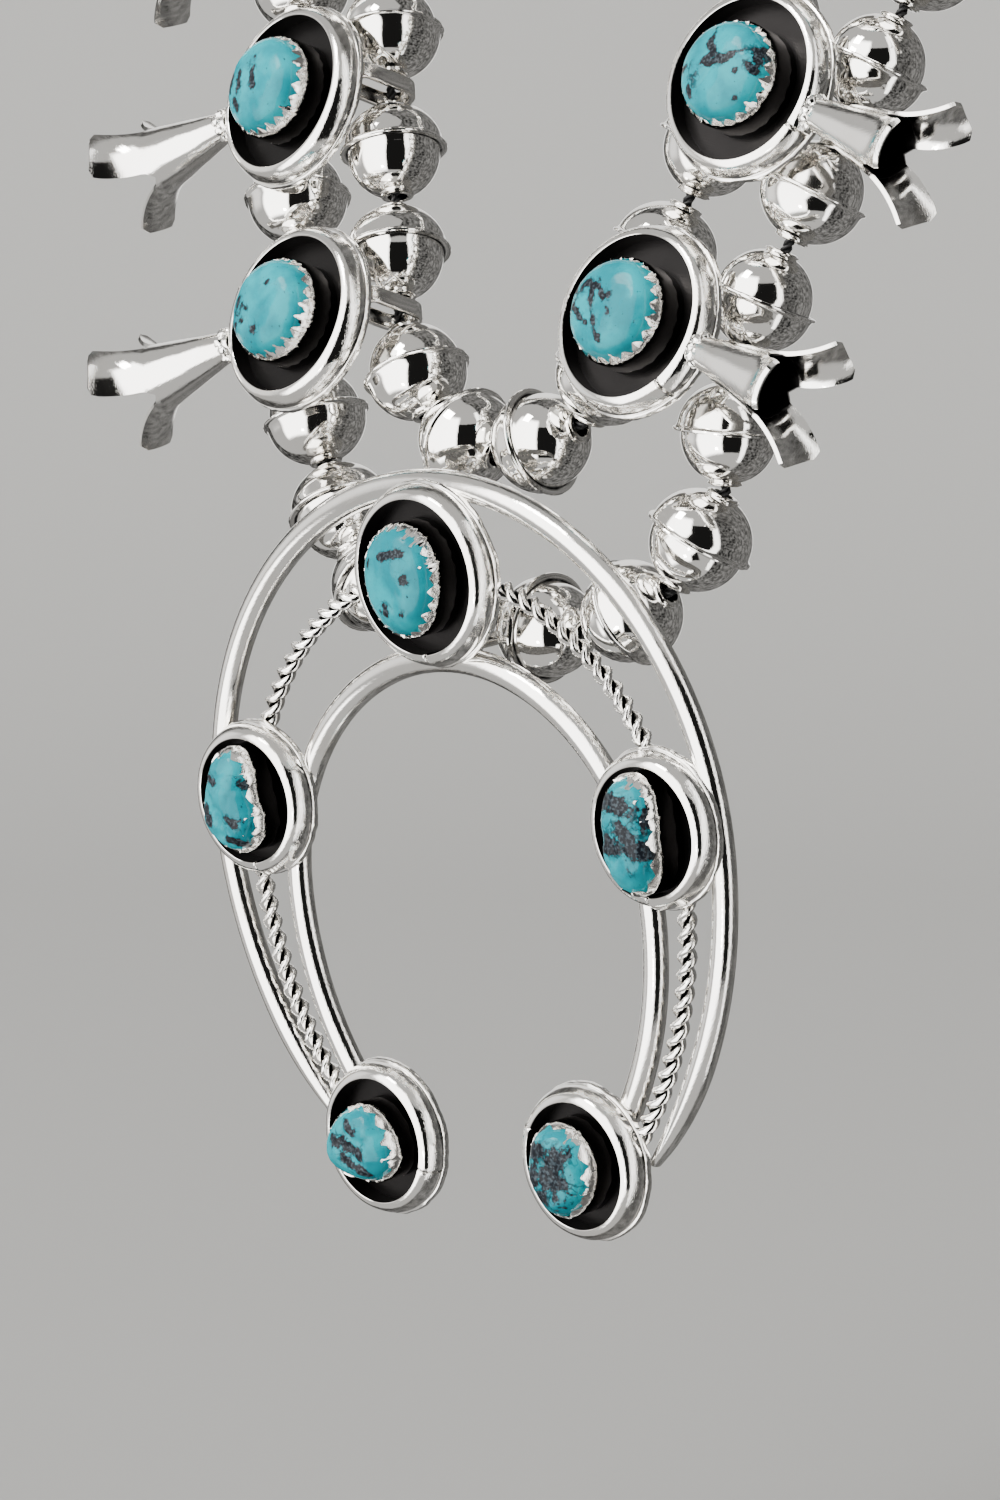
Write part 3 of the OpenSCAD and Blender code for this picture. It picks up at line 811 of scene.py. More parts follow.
# %% [markdown]
# The bezel is a thin strip bent round the stone, with saw teeth cut in its upper edge and
# pressed on to the stone one by one. A geometry tree makes it from the stone's outline: it
# sweeps a short upright line round the outline, then moves every point of that strip by a
# sawtooth of its share of the way round. The teeth lean inwards, each by its own amount.

# %% The tree that cuts and presses a bezel: the strip
TOOTH_STEPS = 8
STRIP_ROWS = 7
cutting, given = geometry_tree("toothed bezel", [
    ("Teeth", WHOLE, 22), ("Wall", FLOAT, 2.2), ("Tooth", FLOAT, 1.0), ("Lean", FLOAT, 0.7),
    ("Uneven", FLOAT, 0.3), ("Seed", WHOLE, 1)])


def stored(geometry, name, value, data_type):
    return made(cutting, "GeometryNodeStoreNamedAttribute", {
        "Geometry": geometry, "Name": name, "Value": value}, data_type=data_type, domain="POINT")


def recalled(name, data_type):
    return made(cutting, "GeometryNodeInputNamedAttribute", {"Name": name}, "Attribute",
                data_type=data_type)


smooth_line = made(cutting, "GeometryNodeCurveSplineType", {"Curve": curve_of(given["Geometry"])},
                   spline_type="CATMULL_ROM")
finer = made(cutting, "GeometryNodeResampleCurve", {
    "Curve": smooth_line, "Count": given["Teeth"] * TOOTH_STEPS}, mode="COUNT")
numbered = stored(finer, "round", made(cutting, "GeometryNodeInputIndex"), "FLOAT")
sideways = vector_maths("CROSS_PRODUCT", made(cutting, "GeometryNodeInputTangent"), (0.0, 0.0, 1.0))
upright = made(cutting, "GeometryNodeSetCurveNormal", {
    "Curve": stored(numbered, "inwards", sideways, "FLOAT_VECTOR")}, mode="Z_UP")
short_line = made(cutting, "GeometryNodeCurvePrimitiveLine", {
    "Start": (0.0, 0.0, 0.0), "End": (0.0, 1.0, 0.0)})
rows = made(cutting, "GeometryNodeResampleCurve", {"Curve": short_line, "Count": STRIP_ROWS}, mode="COUNT")
strip = made(cutting, "GeometryNodeCurveToMesh", {"Curve": upright, "Profile Curve": rows})

# %% The tree that cuts and presses a bezel: the teeth
TOOTH_ROUNDING = 0.85
PRESS_START = 0.4
PRESS_POWER = 1.6
here = add(cutting, "ShaderNodeSeparateXYZ", {"Vector": made(cutting, "GeometryNodeInputPosition")})
tooth_place = recalled("round", "FLOAT") / TOOTH_STEPS
saw = 1.0 - abs(tooth_place.maths("FRACT") * 2.0 - 1.0)
tooth_chance = made(cutting, "FunctionNodeRandomValue", {
    "Min": -1.0, "Max": 1.0, "ID": tooth_place.maths("FLOOR"), "Seed": given["Seed"]},
    "Value", data_type="FLOAT")
own_size = tooth_chance * given["Uneven"] + 1.0
top = given["Wall"] + saw ** TOOTH_ROUNDING * given["Tooth"] * own_size
height = abs(output(here, "Z")) * top
above = height.maths("SUBTRACT", given["Wall"] - PRESS_START, clamp=True)
pressed = above ** PRESS_POWER * given["Lean"] * own_size
cut_place = made(cutting, "ShaderNodeCombineXYZ", {
    "X": output(here, "X"), "Y": output(here, "Y"), "Z": height})
new_place = vector_maths("SUBTRACT", cut_place, scaled(recalled("inwards", "FLOAT_VECTOR"), pressed))
finish_tree(given, made(cutting, "GeometryNodeSetPosition", {"Geometry": strip, "Position": new_place}))


# %% Giving thin sheet its thickness
def facing_out(points, faces, axes, middle=0.0):
    """The faces, turned over if the first one looks towards the middle in the given axes."""
    a, b, c = (points[faces[0][k]] for k in range(3))
    if np.dot(np.cross(b - a, c - a)[axes], (a - middle)[axes]) < 0:
        return [tuple(reversed(face)) for face in faces]
    return faces


def thickened(points, faces, thickness, inner_oxide_and_shade=0.0, outer_oxide_and_shade=0.0):
    """A closed part from an open sheet of four-sided faces: the sheet, an inner copy, its edges."""
    corners = np.array(faces)
    a, b, c, d = (points[corners[:, k]] for k in range(4))
    cross = np.cross(b - a, c - a) + np.cross(c - a, d - a)
    normals = np.zeros_like(points)
    for k in range(4):
        np.add.at(normals, corners[:, k], cross)
    normals /= np.maximum(np.linalg.norm(normals, axis=1), 1e-12)[:, None]
    count = len(points)
    edges = dict.fromkeys(pair for face in faces for pair in zip(face, face[1:] + face[:1]))
    joined = [(b, a, count + a, count + b) for a, b in edges if (b, a) not in edges]
    inner = [tuple(count + i for i in reversed(face)) for face in faces]
    oxide_and_shade = np.concatenate([np.broadcast_to(one, count) for one in (outer_oxide_and_shade, inner_oxide_and_shade)])
    return part(np.concatenate([points, points - thickness * normals]), faces + inner + joined, oxide_and_shade)


# %% Bezels
BEZEL_T = 0.3
BEZEL_WALL = 4.1
BEZEL_TOOTH = 0.95
# A bezel is blackened up to FOOT_OXIDE_AND_SHADE_Z: partly oxide, partly painted shade where it stands in the
# dark box.
FOOT_OXIDE_AND_SHADE_Z = 2.1
FOOT_OXIDE_AND_SHADE_FADE = 0.5


def bezel_part(outline, teeth, seed, lean=0.5, uneven=0.35):
    """A toothed bezel that stands on its box's floor, round an outline given from inside."""
    mesh = grown(cutting, line_mesh(outline, True), {
        "Teeth": teeth, "Wall": BEZEL_WALL, "Tooth": BEZEL_TOOTH, "Lean": lean, "Uneven": uneven,
        "Seed": seed, "Finish": sheet_silver})
    points, faces, _ = part_of_mesh(mesh)
    faces = facing_out(points, faces, slice(0, 2), points.mean(0))
    points[:, 2] += PLATE_T - 0.1
    # Blackened towards the foot: partly oxide, partly painted shade near the box's floor.
    foot = np.clip((FOOT_OXIDE_AND_SHADE_Z - points[:, 2]) / FOOT_OXIDE_AND_SHADE_FADE, 0, 1)
    return thickened(points, faces, BEZEL_T, inner_oxide_and_shade=foot, outer_oxide_and_shade=foot)


def circle(radius, count):
    """Points round a circle, from its middle."""
    return np.array([(radius * math.cos(a), radius * math.sin(a)) for a in round_angles(count)])


print("a round bezel reaches", extent(bezel_part(circle(5.7, 40), 22, 1)))

# %% [markdown]
# The loops behind a box, the bail and the pendant's heavy wires are all metal of one section
# bent along a line. One tree sweeps a section round a line that lies flat, with the section's
# second axis kept upright.

# %% The tree that bends a wire along a line
bending, given = geometry_tree("bent wire", [("Section", THING, None)])
bend_line = made(bending, "GeometryNodeSetCurveNormal", {"Curve": curve_of(given["Geometry"])}, mode="Z_UP")
bend_section = made(bending, "GeometryNodeObjectInfo", {"Object": given["Section"]}, "Geometry")
finish_tree(given, made(bending, "GeometryNodeCurveToMesh", {
    "Curve": bend_line, "Profile Curve": curve_of(bend_section), "Fill Caps": True}))


def bent_wire(line, closed, section):
    """A part of one section, given as across and up, bent along a flat line.

    The tree lays a section's second axis downwards, so it is turned over first.
    """
    shape = plain_object("section", line_mesh([(x, -y) for x, y in section], True))
    mesh = grown(bending, line_mesh(line, closed), {"Section": shape, "Finish": wire_silver})
    bpy.data.objects.remove(shape)
    return part_of_mesh(mesh)


# %% Loops of flat wire
LOOP_BORE = 3.6
LOOP_T = 0.8
LOOP_W = 1.8


def flat_section(width, thickness, corner=0.22):
    """A flat wire's section with small round corners."""
    x, y = thickness / 2 - corner, width / 2 - corner
    return [(sx * x + corner * math.cos(a), sy * y + corner * math.sin(a))
            for start, sx, sy in ((0, 1, 1), (90, -1, 1), (180, -1, -1), (270, 1, -1))
            for a in np.radians(np.linspace(start, start + 90, 4))]


def loop_part(top, width):
    """A closed loop round a thread at height 0, up to the back of a plate at height top."""
    reach = (LOOP_BORE + LOOP_T) / 2
    low = [(reach * math.cos(a), reach * math.sin(a)) for a in np.radians(np.linspace(180, 360, 15))]
    high = top - LOOP_T / 2
    side = [(reach, 0.5 * high), (reach, high - 0.7), (reach - 0.2, high - 0.2), (reach - 0.7, high)]
    line = low + side + [(-x, y) for x, y in reversed(side)]
    return moved(bent_wire(line, True, flat_section(width, LOOP_T)), Matrix.Rotation(math.pi / 2, 4, "X"))


print("a loop reaches", extent(loop_part(FRONT_Z, LOOP_W)))

# %% [markdown]
# The trumpet of a blossom is sheet silver, rolled to a tube with one lengthwise seam, cut into
# three tongues and bent outwards. It is drawn as rows along the metal and columns across each
# tongue. Up to the end of the stem the three tongues share their edges and close the tube.
# Beyond it they part, keep nearly the same width, flatten a little and end square with rounded
# corners.

# %% The sizes of a trumpet
STEM_L = 11.0
STEM_R0 = 1.4
STEM_R1 = 3.0
SHEET_T = 0.5
STEM_ANGLE = 8
SEAM_DEPTH = 0.1
SEAM_UNEVEN = 0.08
SEAM_HALF = 0.1
STEM_DENTS = 0.06
PETAL_L = 6.8
PETAL_HALF = 2.8
PETAL_FLARE = 62
PETAL_CORNER = 0.9
PETAL_BOW = 3.4
PETAL_CURL = 1.5
PETAL_LIFT = 0.35
NECK_L = 0.9
NECK_WIDER = 0.85
EDGE_THINNED = 0.9
STEM_ROWS = 12
PETAL_ROWS = 12
PETAL_COLUMNS = 12
TRUMPET_FOOT = 9.4
TRUMPET_HEIGHT = 8.05
THROAT = 0.3


# %% The trumpet's sheet, point by point
def petal_slope(share):
    return math.radians(STEM_ANGLE + (PETAL_FLARE - STEM_ANGLE) * share)


def petal_centre(share, steps=40):
    """Distance along the axis, distance from it and slope on the outside of a petal."""
    slopes = np.array([petal_slope(share * (i + 0.5) / steps) for i in range(steps)])
    along = STEM_L + share * PETAL_L * np.cos(slopes).mean()
    away = STEM_R1 + share * PETAL_L * np.sin(slopes).mean()
    slope = petal_slope(share)
    return along - SHEET_T * math.sin(slope), away + SHEET_T * math.cos(slope), slope


def petal_half_width(length):
    tight = PETAL_HALF + NECK_WIDER * max(0.0, 1 - length / NECK_L) ** 2
    end = max(0.0, length - (PETAL_L - PETAL_CORNER))
    return tight - PETAL_CORNER + math.sqrt(max(PETAL_CORNER ** 2 - end ** 2, 0.0))


def petal_point(share, across, petal, seed):
    """A point of a petal: its share of the length, and its place across from -1 to 1."""
    along, away, slope = petal_centre(share)
    curl = PETAL_CURL * drift(petal * 3.1, seed, 4)
    lift = PETAL_LIFT * drift(petal * 5.3, seed, 8)
    bow = STEM_R1 + SHEET_T + (PETAL_BOW + curl) * share
    bend = across * petal_half_width(PETAL_L * share) / bow
    side, sink = bow * math.sin(bend), bow * (math.cos(bend) - 1)
    turn, reach = math.radians(120 * petal), away + sink * math.cos(slope)
    return (along - sink * math.sin(slope) + lift * share * share,
            reach * math.sin(turn) + side * math.cos(turn), reach * math.cos(turn) - side * math.sin(turn))


def stem_point(share, across, petal, seed, seam_turn):
    """A point of the stem, with the hollow of its lengthwise seam and a few small dents."""
    turn = math.radians(120 * petal + 60 * across)
    end = STEM_R1 + SHEET_T * math.cos(math.radians(STEM_ANGLE))
    depth = SEAM_DEPTH + SEAM_UNEVEN * drift(share * 14, seed, 0)
    radius = STEM_R0 + (end - STEM_R0) * share
    radius -= depth * math.exp(-(turn_from(turn, seam_turn) / SEAM_HALF) ** 2)
    radius += STEM_DENTS * drift(4 * math.cos(turn), 4 * math.sin(turn), 6 * share + seed)
    return share * petal_centre(0)[0], radius * math.sin(turn), radius * math.cos(turn)


def trumpet_sheet(seed, seam_turn):
    """The outer face of the trumpet as points in rows, each row round all three petals."""
    columns = [(across, petal) for petal in range(3) for across in np.linspace(-1, 1, PETAL_COLUMNS + 1)]
    stem = [[stem_point(share, *column, seed, seam_turn) for column in columns]
            for share in np.linspace(0, 1, STEM_ROWS + 1)]
    petals = [[petal_point(share, *column, seed) for column in columns]
              for share in np.linspace(0, 1, PETAL_ROWS + 1)[1:]]
    return np.array(stem + petals)


# %% The trumpet, and the solder at its foot
SOLDER_R = 0.6
SOLDER_LUMPS = 0.3
SOLDER_OXIDE = 0.15
COLLAR_R = STEM_R0 + 0.05
COLLAR_AT = TRUMPET_FOOT + 0.85
COLLAR_WAVE = 0.15


def trumpet_part(seed, seam_turn):
    sheet = trumpet_sheet(seed, seam_turn)
    tall, wide, _ = sheet.shape
    per = PETAL_COLUMNS + 1
    index = np.arange(tall * wide).reshape(tall, wide)
    for petal in range(3):
        index[:STEM_ROWS + 1, petal * per] = index[:STEM_ROWS + 1, (petal * per - 1) % wide]
    faces = np.array([(index[i, a], index[i, a + 1], index[i + 1, a + 1], index[i + 1, a])
                      for i in range(tall - 1) for a in range(wide) if (a + 1) % per])
    used, faces = np.unique(faces, return_inverse=True)
    points = sheet.reshape(-1, 3)[used]
    faces = facing_out(points, [tuple(face) for face in faces.reshape(-1, 4).tolist()], slice(1, 3))
    down = np.clip((used // wide - STEM_ROWS) / (THROAT * PETAL_ROWS), 0, 1)
    one = thickened(points, faces, SHEET_T * EDGE_THINNED, inner_oxide_and_shade=1.0 - down)
    return moved(one, Matrix.Translation((TRUMPET_FOOT, 0, TRUMPET_HEIGHT)))


def solder_part(centre, seed):
    """A small lumpy blob of solder, where two pieces of metal meet."""
    profile = [(math.sqrt(1 - h * h), h) for h in np.linspace(-1, 1, 7)]
    points, faces = turned(profile, round_angles(12))
    lump = np.array([1 + SOLDER_LUMPS * noise.noise(Vector(p) * 1.7 + Vector((seed, 0, 0)))
                     for p in points])
    return part(points * lump[:, None] * SOLDER_R + np.array(centre), faces, SOLDER_OXIDE)


def collar_parts(seed):
    """The ring of solder that holds the trumpet's foot to the box."""
    return [solder_part((COLLAR_AT + COLLAR_WAVE * math.sin(5 * a + seed), COLLAR_R * math.sin(a),
                         TRUMPET_HEIGHT + COLLAR_R * math.cos(a)), seed + i)
            for i, a in enumerate(round_angles(9))]


print("a trumpet reaches", extent(trumpet_part(1, 0)))

# %% The blossoms
STRAND_PITCH = 15.4
BLOSSOM_BOX_D = 20
STONE_R = 5.3
ROUND_TEETH = 22
BAND_SEAM = -28
BAND_SEAM_SPREAD = 20
TRUMPET_SEAM = 100


def blossom_parts(on_left, seed):
    seam = math.radians(BAND_SEAM + BAND_SEAM_SPREAD * math.sin(3.7 * seed))
    parts = box_parts(BLOSSOM_BOX_D, seam, seed)
    parts.append(bezel_part(circle(STONE_R + STONE_CLEAR + BEZEL_T, 44), ROUND_TEETH + seed % 3, seed))
    parts = [moved(one, Matrix.Translation((0, 0, FRONT_Z))) for one in parts]
    parts.append(trumpet_part(seed, math.radians(TRUMPET_SEAM if on_left else -TRUMPET_SEAM)))
    loop = loop_part(FRONT_Z, LOOP_W)
    loops = [moved(loop, Matrix.Translation((side * STRAND_PITCH / 2, 0, 0))) for side in (-1, 1)]
    return parts + collar_parts(seed) + loops


for seed, name in enumerate(BLOSSOMS, 1):
    mesh = mesh_of_parts("blossom", blossom_parts(name.startswith("left"), seed), blossom_frames[name])
    finished("silver_blossom_" + name, mesh, sheet_silver, "strands", "sheet_silver", "blossom_" + name)
print("a blossom has", len(mesh.polygons), "faces")

# %% [markdown]
# The naja is two heavy half round wires, bent to a crescent with a twisted wire between them,
# and five shadowboxes soldered over the wires. The crescent is one wide arc with two flatter
# arcs below it that turn the ends inwards.

# %% The pendant's sizes
OUTER_R, OUTER_LOW_R, OUTER_TURN = 36.8, 47.6, 45
INNER_R, INNER_LOW_R, INNER_TURN = 26.2, 37.2, 34
BAIL_DROP = 15.5
WIRE_DROP = 18.5
WIRE_TOP = 2.7
WIRE_W = 3.0
WIRE_H = 1.75
BAIL_W = 3.0
BOX_SINK = 0.45
OUTER_CY = BAIL_DROP - OUTER_R
INNER_CY = BAIL_DROP - WIRE_DROP - INNER_R
WIRE_Z = FRONT_Z + WIRE_TOP - WIRE_H / 2
NAJA_PLATE_Z = FRONT_Z + WIRE_TOP - BOX_SINK


def crescent(radius, low_radius, turn, centre_y):
    """Points along a crescent, from its left end over the top to its right end."""
    low = [(radius - low_radius + low_radius * math.cos(a), centre_y - low_radius * math.sin(a))
           for a in np.radians(np.linspace(turn, 0, 30))]
    high = [(radius * math.cos(a), centre_y + radius * math.sin(a))
            for a in np.radians(np.linspace(0, 180, 70))[1:-1]]
    return low + high + [(-x, y) for x, y in reversed(low)]


def half_round_section(width, height, side=0.18):
    """A half round wire's section: half an oval that stands on a low side and a flat back."""
    dome = [(width / 2 * math.cos(a), side + (height - side) * math.sin(a))
            for a in np.linspace(0, math.pi, 21)]
    foot = [(width / 2 - 0.12, 0.0), (width / 2 - 0.02, 0.06)]
    return [(x, y - height / 2) for x, y in foot + dome + [(-x, y) for x, y in reversed(foot)]]


def naja_wire(*arcs):
    return bent_wire(crescent(*arcs), False, half_round_section(WIRE_W, WIRE_H))


print("the outer wire reaches", extent(naja_wire(OUTER_R, OUTER_LOW_R, OUTER_TURN, OUTER_CY)))

# %% [markdown]
# Each stone of the pendant has its own outline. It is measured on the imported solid: the points
# of the stone's flat base, in their order round it. The bezel follows that outline at a small
# distance, and the box stands round its middle.

# %% The outlines of the pendant's stones
TOP_BOX_D = 19.2
LOW_BOX_D = 16.4
FOOT_OVERLAP = 0.2
SIDE_IN = 1.9
SIDE_UP = 2.3
FOOT_X = OUTER_R - OUTER_LOW_R * (1 - math.cos(math.radians(OUTER_TURN))) - LOW_BOX_D / 2 + FOOT_OVERLAP
FOOT_Y = OUTER_CY - OUTER_LOW_R * math.sin(math.radians(OUTER_TURN)) - FOOT_OVERLAP
SIDE_X = (OUTER_R + INNER_R) / 2 - SIDE_IN
SIDE_Y = OUTER_CY + SIDE_UP
# Each box's place, its diameter, its bezel's teeth and the angle of its band's seam.
NAJA_BOXES = [((0, BAIL_DROP - WIRE_DROP / 2), TOP_BOX_D, 24, -86),
              ((-SIDE_X, SIDE_Y), LOW_BOX_D, 13, -84),
              ((SIDE_X, SIDE_Y), LOW_BOX_D, 14, -92),
              ((-FOOT_X, FOOT_Y), LOW_BOX_D, 13, -22),
              ((FOOT_X, FOOT_Y), LOW_BOX_D, 12, 150)]


def stone_outline(number, place):
    """The points round a stone's base, in the pendant's frame, from the middle of its box."""
    local = np.array([naja_frame.inverted() @ Vector(p) for p in merged("naja_stone_%d" % number)[0]])
    base = local[local[:, 2] < local[:, 2].min() + 0.01][:, :2] - np.array(place)
    return base[np.argsort(np.arctan2(base[:, 1], base[:, 0]))]


def offset_outline(outline, distance):
    """An outline moved outwards by a distance."""
    ahead = np.roll(outline, -1, axis=0) - np.roll(outline, 1, axis=0)
    out = np.stack([ahead[:, 1], -ahead[:, 0]], axis=1)
    return outline + distance * out / np.linalg.norm(out, axis=1)[:, None]


outlines = [stone_outline(number, box[0]) for number, box in enumerate(NAJA_BOXES, 1)]
print("stone outlines have", [len(one) for one in outlines], "points; half widths",
      [one.max(0).round(2).tolist() for one in outlines])

# %% The pendant's twisted wire
ROPE_STRAND = 0.56
ROPE_NEST = 0.93
ROPE_TURN = 3.9
ROPE_STEP = 0.3
ROPE_SIDES = 12
ROPE_BLACK_R = 1.12
ROPE_BLACK_FADE = 0.4


def rope_part():
    """The twisted wire, blackened in the groove between its strands."""
    line = crescent((OUTER_R + INNER_R) / 2, (OUTER_LOW_R + INNER_LOW_R) / 2,
                    (OUTER_TURN + INNER_TURN) / 2, (OUTER_CY + INNER_CY) / 2)
    points, faces, _ = part_of_mesh(grown(twisting, line_mesh(line, False), {
        "Strands": 2, "Strand Radius": ROPE_STRAND, "Spread": ROPE_STRAND * ROPE_NEST,
        "Turns per Length": 1 / ROPE_TURN, "Step": ROPE_STEP, "Sides": ROPE_SIDES,
        "Finish": wire_silver}))
    line = np.array([(x, y, 0.0) for x, y in line])
    ahead = np.gradient(line, axis=0)
    ahead /= np.linalg.norm(ahead, axis=1)[:, None]
    middles = points.reshape(-1, ROPE_SIDES, 3).mean(1)
    nearest = np.repeat([((line - one) ** 2).sum(1).argmin() for one in middles], ROPE_SIDES)
    off, way = points - line[nearest], ahead[nearest]
    away = np.linalg.norm(off - (off * way).sum(1)[:, None] * way, axis=1) / ROPE_STRAND
    return points, faces, np.clip((ROPE_BLACK_R - away) / ROPE_BLACK_FADE, 0, 1)


print("the twisted wire reaches", extent(rope_part()))


# %% The pendant's metal
TAPER_FROM = 27
TAPER_NARROW = 0.6
TAPER_FLAT = 0.4


def tapered_ends(wire):
    """The outer wire filed thinner towards its two ends, which lie against the lowest boxes."""
    points = wire[0].copy()
    centre_x = OUTER_R - OUTER_LOW_R
    across, down = np.abs(points[:, 0]) - centre_x, OUTER_CY - points[:, 1]
    turn = np.degrees(np.arctan2(down, across))
    share = np.clip((turn - TAPER_FROM) / (OUTER_TURN - TAPER_FROM), 0, 1) ** 2
    away = np.hypot(across, down)
    narrower = OUTER_LOW_R + (away - OUTER_LOW_R) * (1 - TAPER_NARROW * share)
    closer = np.where(share > 0, narrower / away, 1.0)
    points[:, 0] = np.sign(points[:, 0]) * (centre_x + across * closer)
    points[:, 1] = OUTER_CY - down * closer
    points[:, 2] = -WIRE_H / 2 + (points[:, 2] + WIRE_H / 2) * (1 - TAPER_FLAT * share)
    return points, wire[1], wire[2]


def naja_parts():
    parts = [tapered_ends(naja_wire(OUTER_R, OUTER_LOW_R, OUTER_TURN, OUTER_CY)),
             naja_wire(INNER_R, INNER_LOW_R, INNER_TURN, INNER_CY), rope_part()]
    parts = [moved(one, Matrix.Translation((0, 0, WIRE_Z))) for one in parts]
    for number, (place, diameter, teeth, seam) in enumerate(NAJA_BOXES):
        edge = offset_outline(outlines[number], STONE_CLEAR + BEZEL_T)
        box = box_parts(diameter, math.radians(seam), 20 + number)
        box.append(bezel_part(edge, teeth, 40 + number, lean=0.65, uneven=0.5))
        parts += [moved(one, Matrix.Translation((*place, NAJA_PLATE_Z))) for one in box]
    parts.append(moved(loop_part(NAJA_PLATE_Z, BAIL_W), Matrix.Rotation(math.pi / 2, 4, "Z")))
    return parts


naja_mesh = mesh_of_parts("naja", naja_parts(), naja_frame)
finished("silver_naja", naja_mesh, wire_silver, "pendant", "cast_silver", "naja")
print("the naja has", len(naja_mesh.polygons), "faces")

# %% [markdown]
# Turquoise is blue-green stone crossed by dark matrix, the rock it grew in. Its main patches
# are chosen for each stone and kept on the mesh as a number per point. The material breaks
# their edges up with noise and adds the thin veins and specks, so that the close view has more
# detail than the mesh.

# %% Turquoise: where the matrix is
MATRIX = "matrix"
turquoise, gem, gem_shader = new_material("turquoise")
gem_place = object_place(gem)
field = made(gem, "ShaderNodeAttribute", key="Fac", attribute_name=MATRIX)
crumble = noise_at(gem_place, scale=1250.0, detail=8.0, roughness=0.65)
gaps = mapped(noise_at(gem_place, scale=520.0, detail=1.0), 0.34, 0.6, low=0.45, high=1.2)
broken = (crumble - 0.5) * 2.1 + field * gaps
patches = mapped(broken, 0.5, 0.66, soft=True)
vein_line = abs(noise_at(gem_place, scale=420.0, detail=3.0) - 0.5)
vein = mapped(vein_line - field * 0.03, 0.012, 0.0, high=0.75, soft=True)
specks = mapped(noise_at(gem_place, scale=2600.0), 0.70, 0.76)
thin = (vein * (field + 0.12)).maths("MAXIMUM", specks)
dark = patches.maths("MAXIMUM", thin, clamp=True)
print("the turquoise's matrix takes", len(gem.nodes), "nodes")

# %% Turquoise: its colours and polish
DEEP_BLUE = (0.0, 0.215, 0.265, 1)
PALE_BLUE = (0.003, 0.345, 0.405, 1)
STAINED_BLUE = (0.002, 0.13, 0.17, 1)
BLACK_ROCK = (0.006, 0.008, 0.012, 1)
GREY_ROCK = (0.05, 0.07, 0.085, 1)
cloud = mapped(noise_at(gem_place, scale=260.0, detail=5.0), 0.4, 0.6)
stain = mapped(broken, 0.25, 0.55, high=0.5)
grit = mapped(noise_at(gem_place, scale=3000.0), 0.48, 0.66)
stone_tone = mixed(stain, mixed(cloud, DEEP_BLUE, PALE_BLUE), STAINED_BLUE)
feed(gem_shader, {
    "Base Color": mixed(dark, stone_tone, mixed(grit, BLACK_ROCK, GREY_ROCK)),
    "Roughness": dark * 0.15 + 0.14,
    "Specular IOR Level": 0.13,
    "Normal": made(gem, "ShaderNodeBump", {
        "Height": dark * -1.0, "Strength": 0.25, "Distance": 0.08 * MM})})
print("the turquoise has", len(gem.nodes), "nodes")

# %% [markdown]
# A stone is rings of points from its base up a steep side, over a soft shoulder and across a
# nearly flat top. The rings are shrunk copies of its outline. A slow noise keeps the surface
# from being too perfect. The matrix is a short list of lines for each stone, given as a
# width in millimetres and then the points that the line passes, from the stone's middle.

# %% Shaping a stone
STONE_RINGS = 32
STONE_SIDES = 90
STONE_SIDE = 0.6
STONE_FLATNESS = 3.2
STONE_SHOULDER = 2.3
RING_CROWDING = 1.7
RIPPLE_PACE = 0.42
FINE_RIPPLE, FINE_RIPPLE_PACE = 0.4, 1.1
STROKE_SPREAD = 1.4


def stone_height(share):
    """Height of a stone's dome, from 0 to 1, at a share of the way from its middle to its edge."""
    return STONE_SIDE + (1 - STONE_SIDE) * (1 - share ** STONE_FLATNESS) ** (1 / STONE_SHOULDER)


def ring_by_angle(outline):
    """Angles and distances of an outline, repeated past both ends for interpolation."""
    turn = np.arctan2(outline[:, 1], outline[:, 0])
    order = np.argsort(turn)
    turn, away = turn[order], np.linalg.norm(outline, axis=1)[order]
    return np.concatenate([turn - 2 * math.pi, turn, turn + 2 * math.pi]), np.tile(away, 3)


def stretches(lines):
    """One row of x, y, x, y and width for each stretch of each line of matrix."""
    return [(*a, *b, width) for width, *points in lines for a, b in zip(points, points[1:])]


def stroke_field(spots, strokes):
    """How deep in the matrix each spot is: 1 on a stroke's line, 0 away from all of them."""
    best = np.zeros(len(spots))
    for x0, y0, x1, y1, width in strokes:
        off, way = spots - (x0, y0), np.array((x1 - x0, y1 - y0))
        share = np.clip(off @ way / max(way @ way, 1e-9), 0, 1)
        away = np.linalg.norm(off - np.outer(share, way), axis=1)
        best = np.maximum(best, np.exp(-(away / (STROKE_SPREAD * width)) ** 2))
    return best


def stone_mesh(name, outline, height, strokes, seed, ripple):
    angles = round_angles(STONE_SIDES)
    reach = np.interp(angles, *ring_by_angle(outline))
    points = [(r * math.cos(a), r * math.sin(a), 0.0) for a, r in zip(angles, reach)]
    for share in 1 - np.linspace(0, 1, STONE_RINGS)[:-1] ** RING_CROWDING:
        for a, r in zip(angles, share * reach):
            x, y = r * math.cos(a), r * math.sin(a)
            bump = ripple * (drift(x, y, seed, pace=RIPPLE_PACE)
                             + FINE_RIPPLE * drift(x, y, seed + 9, pace=FINE_RIPPLE_PACE))
            points.append((x, y, height * stone_height(share) + bump * (1 - share ** 6)))
    points.append((0, 0, height + ripple * drift(0, 0, seed)))
    last = len(points) - 1
    faces = ring_faces(last // STONE_SIDES, STONE_SIDES)
    faces += [(last - STONE_SIDES + i, last - STONE_SIDES + (i + 1) % STONE_SIDES, last)
              for i in range(STONE_SIDES)]
    faces.append(tuple(reversed(range(STONE_SIDES))))
    mesh = mesh_of_parts(name, [part(points, faces)], sharp=60)
    set_numbers(mesh, MATRIX, stroke_field(np.array(points)[:, :2], strokes))
    return mesh


print("a stone has", STONE_RINGS, "rings of", STONE_SIDES, "points")

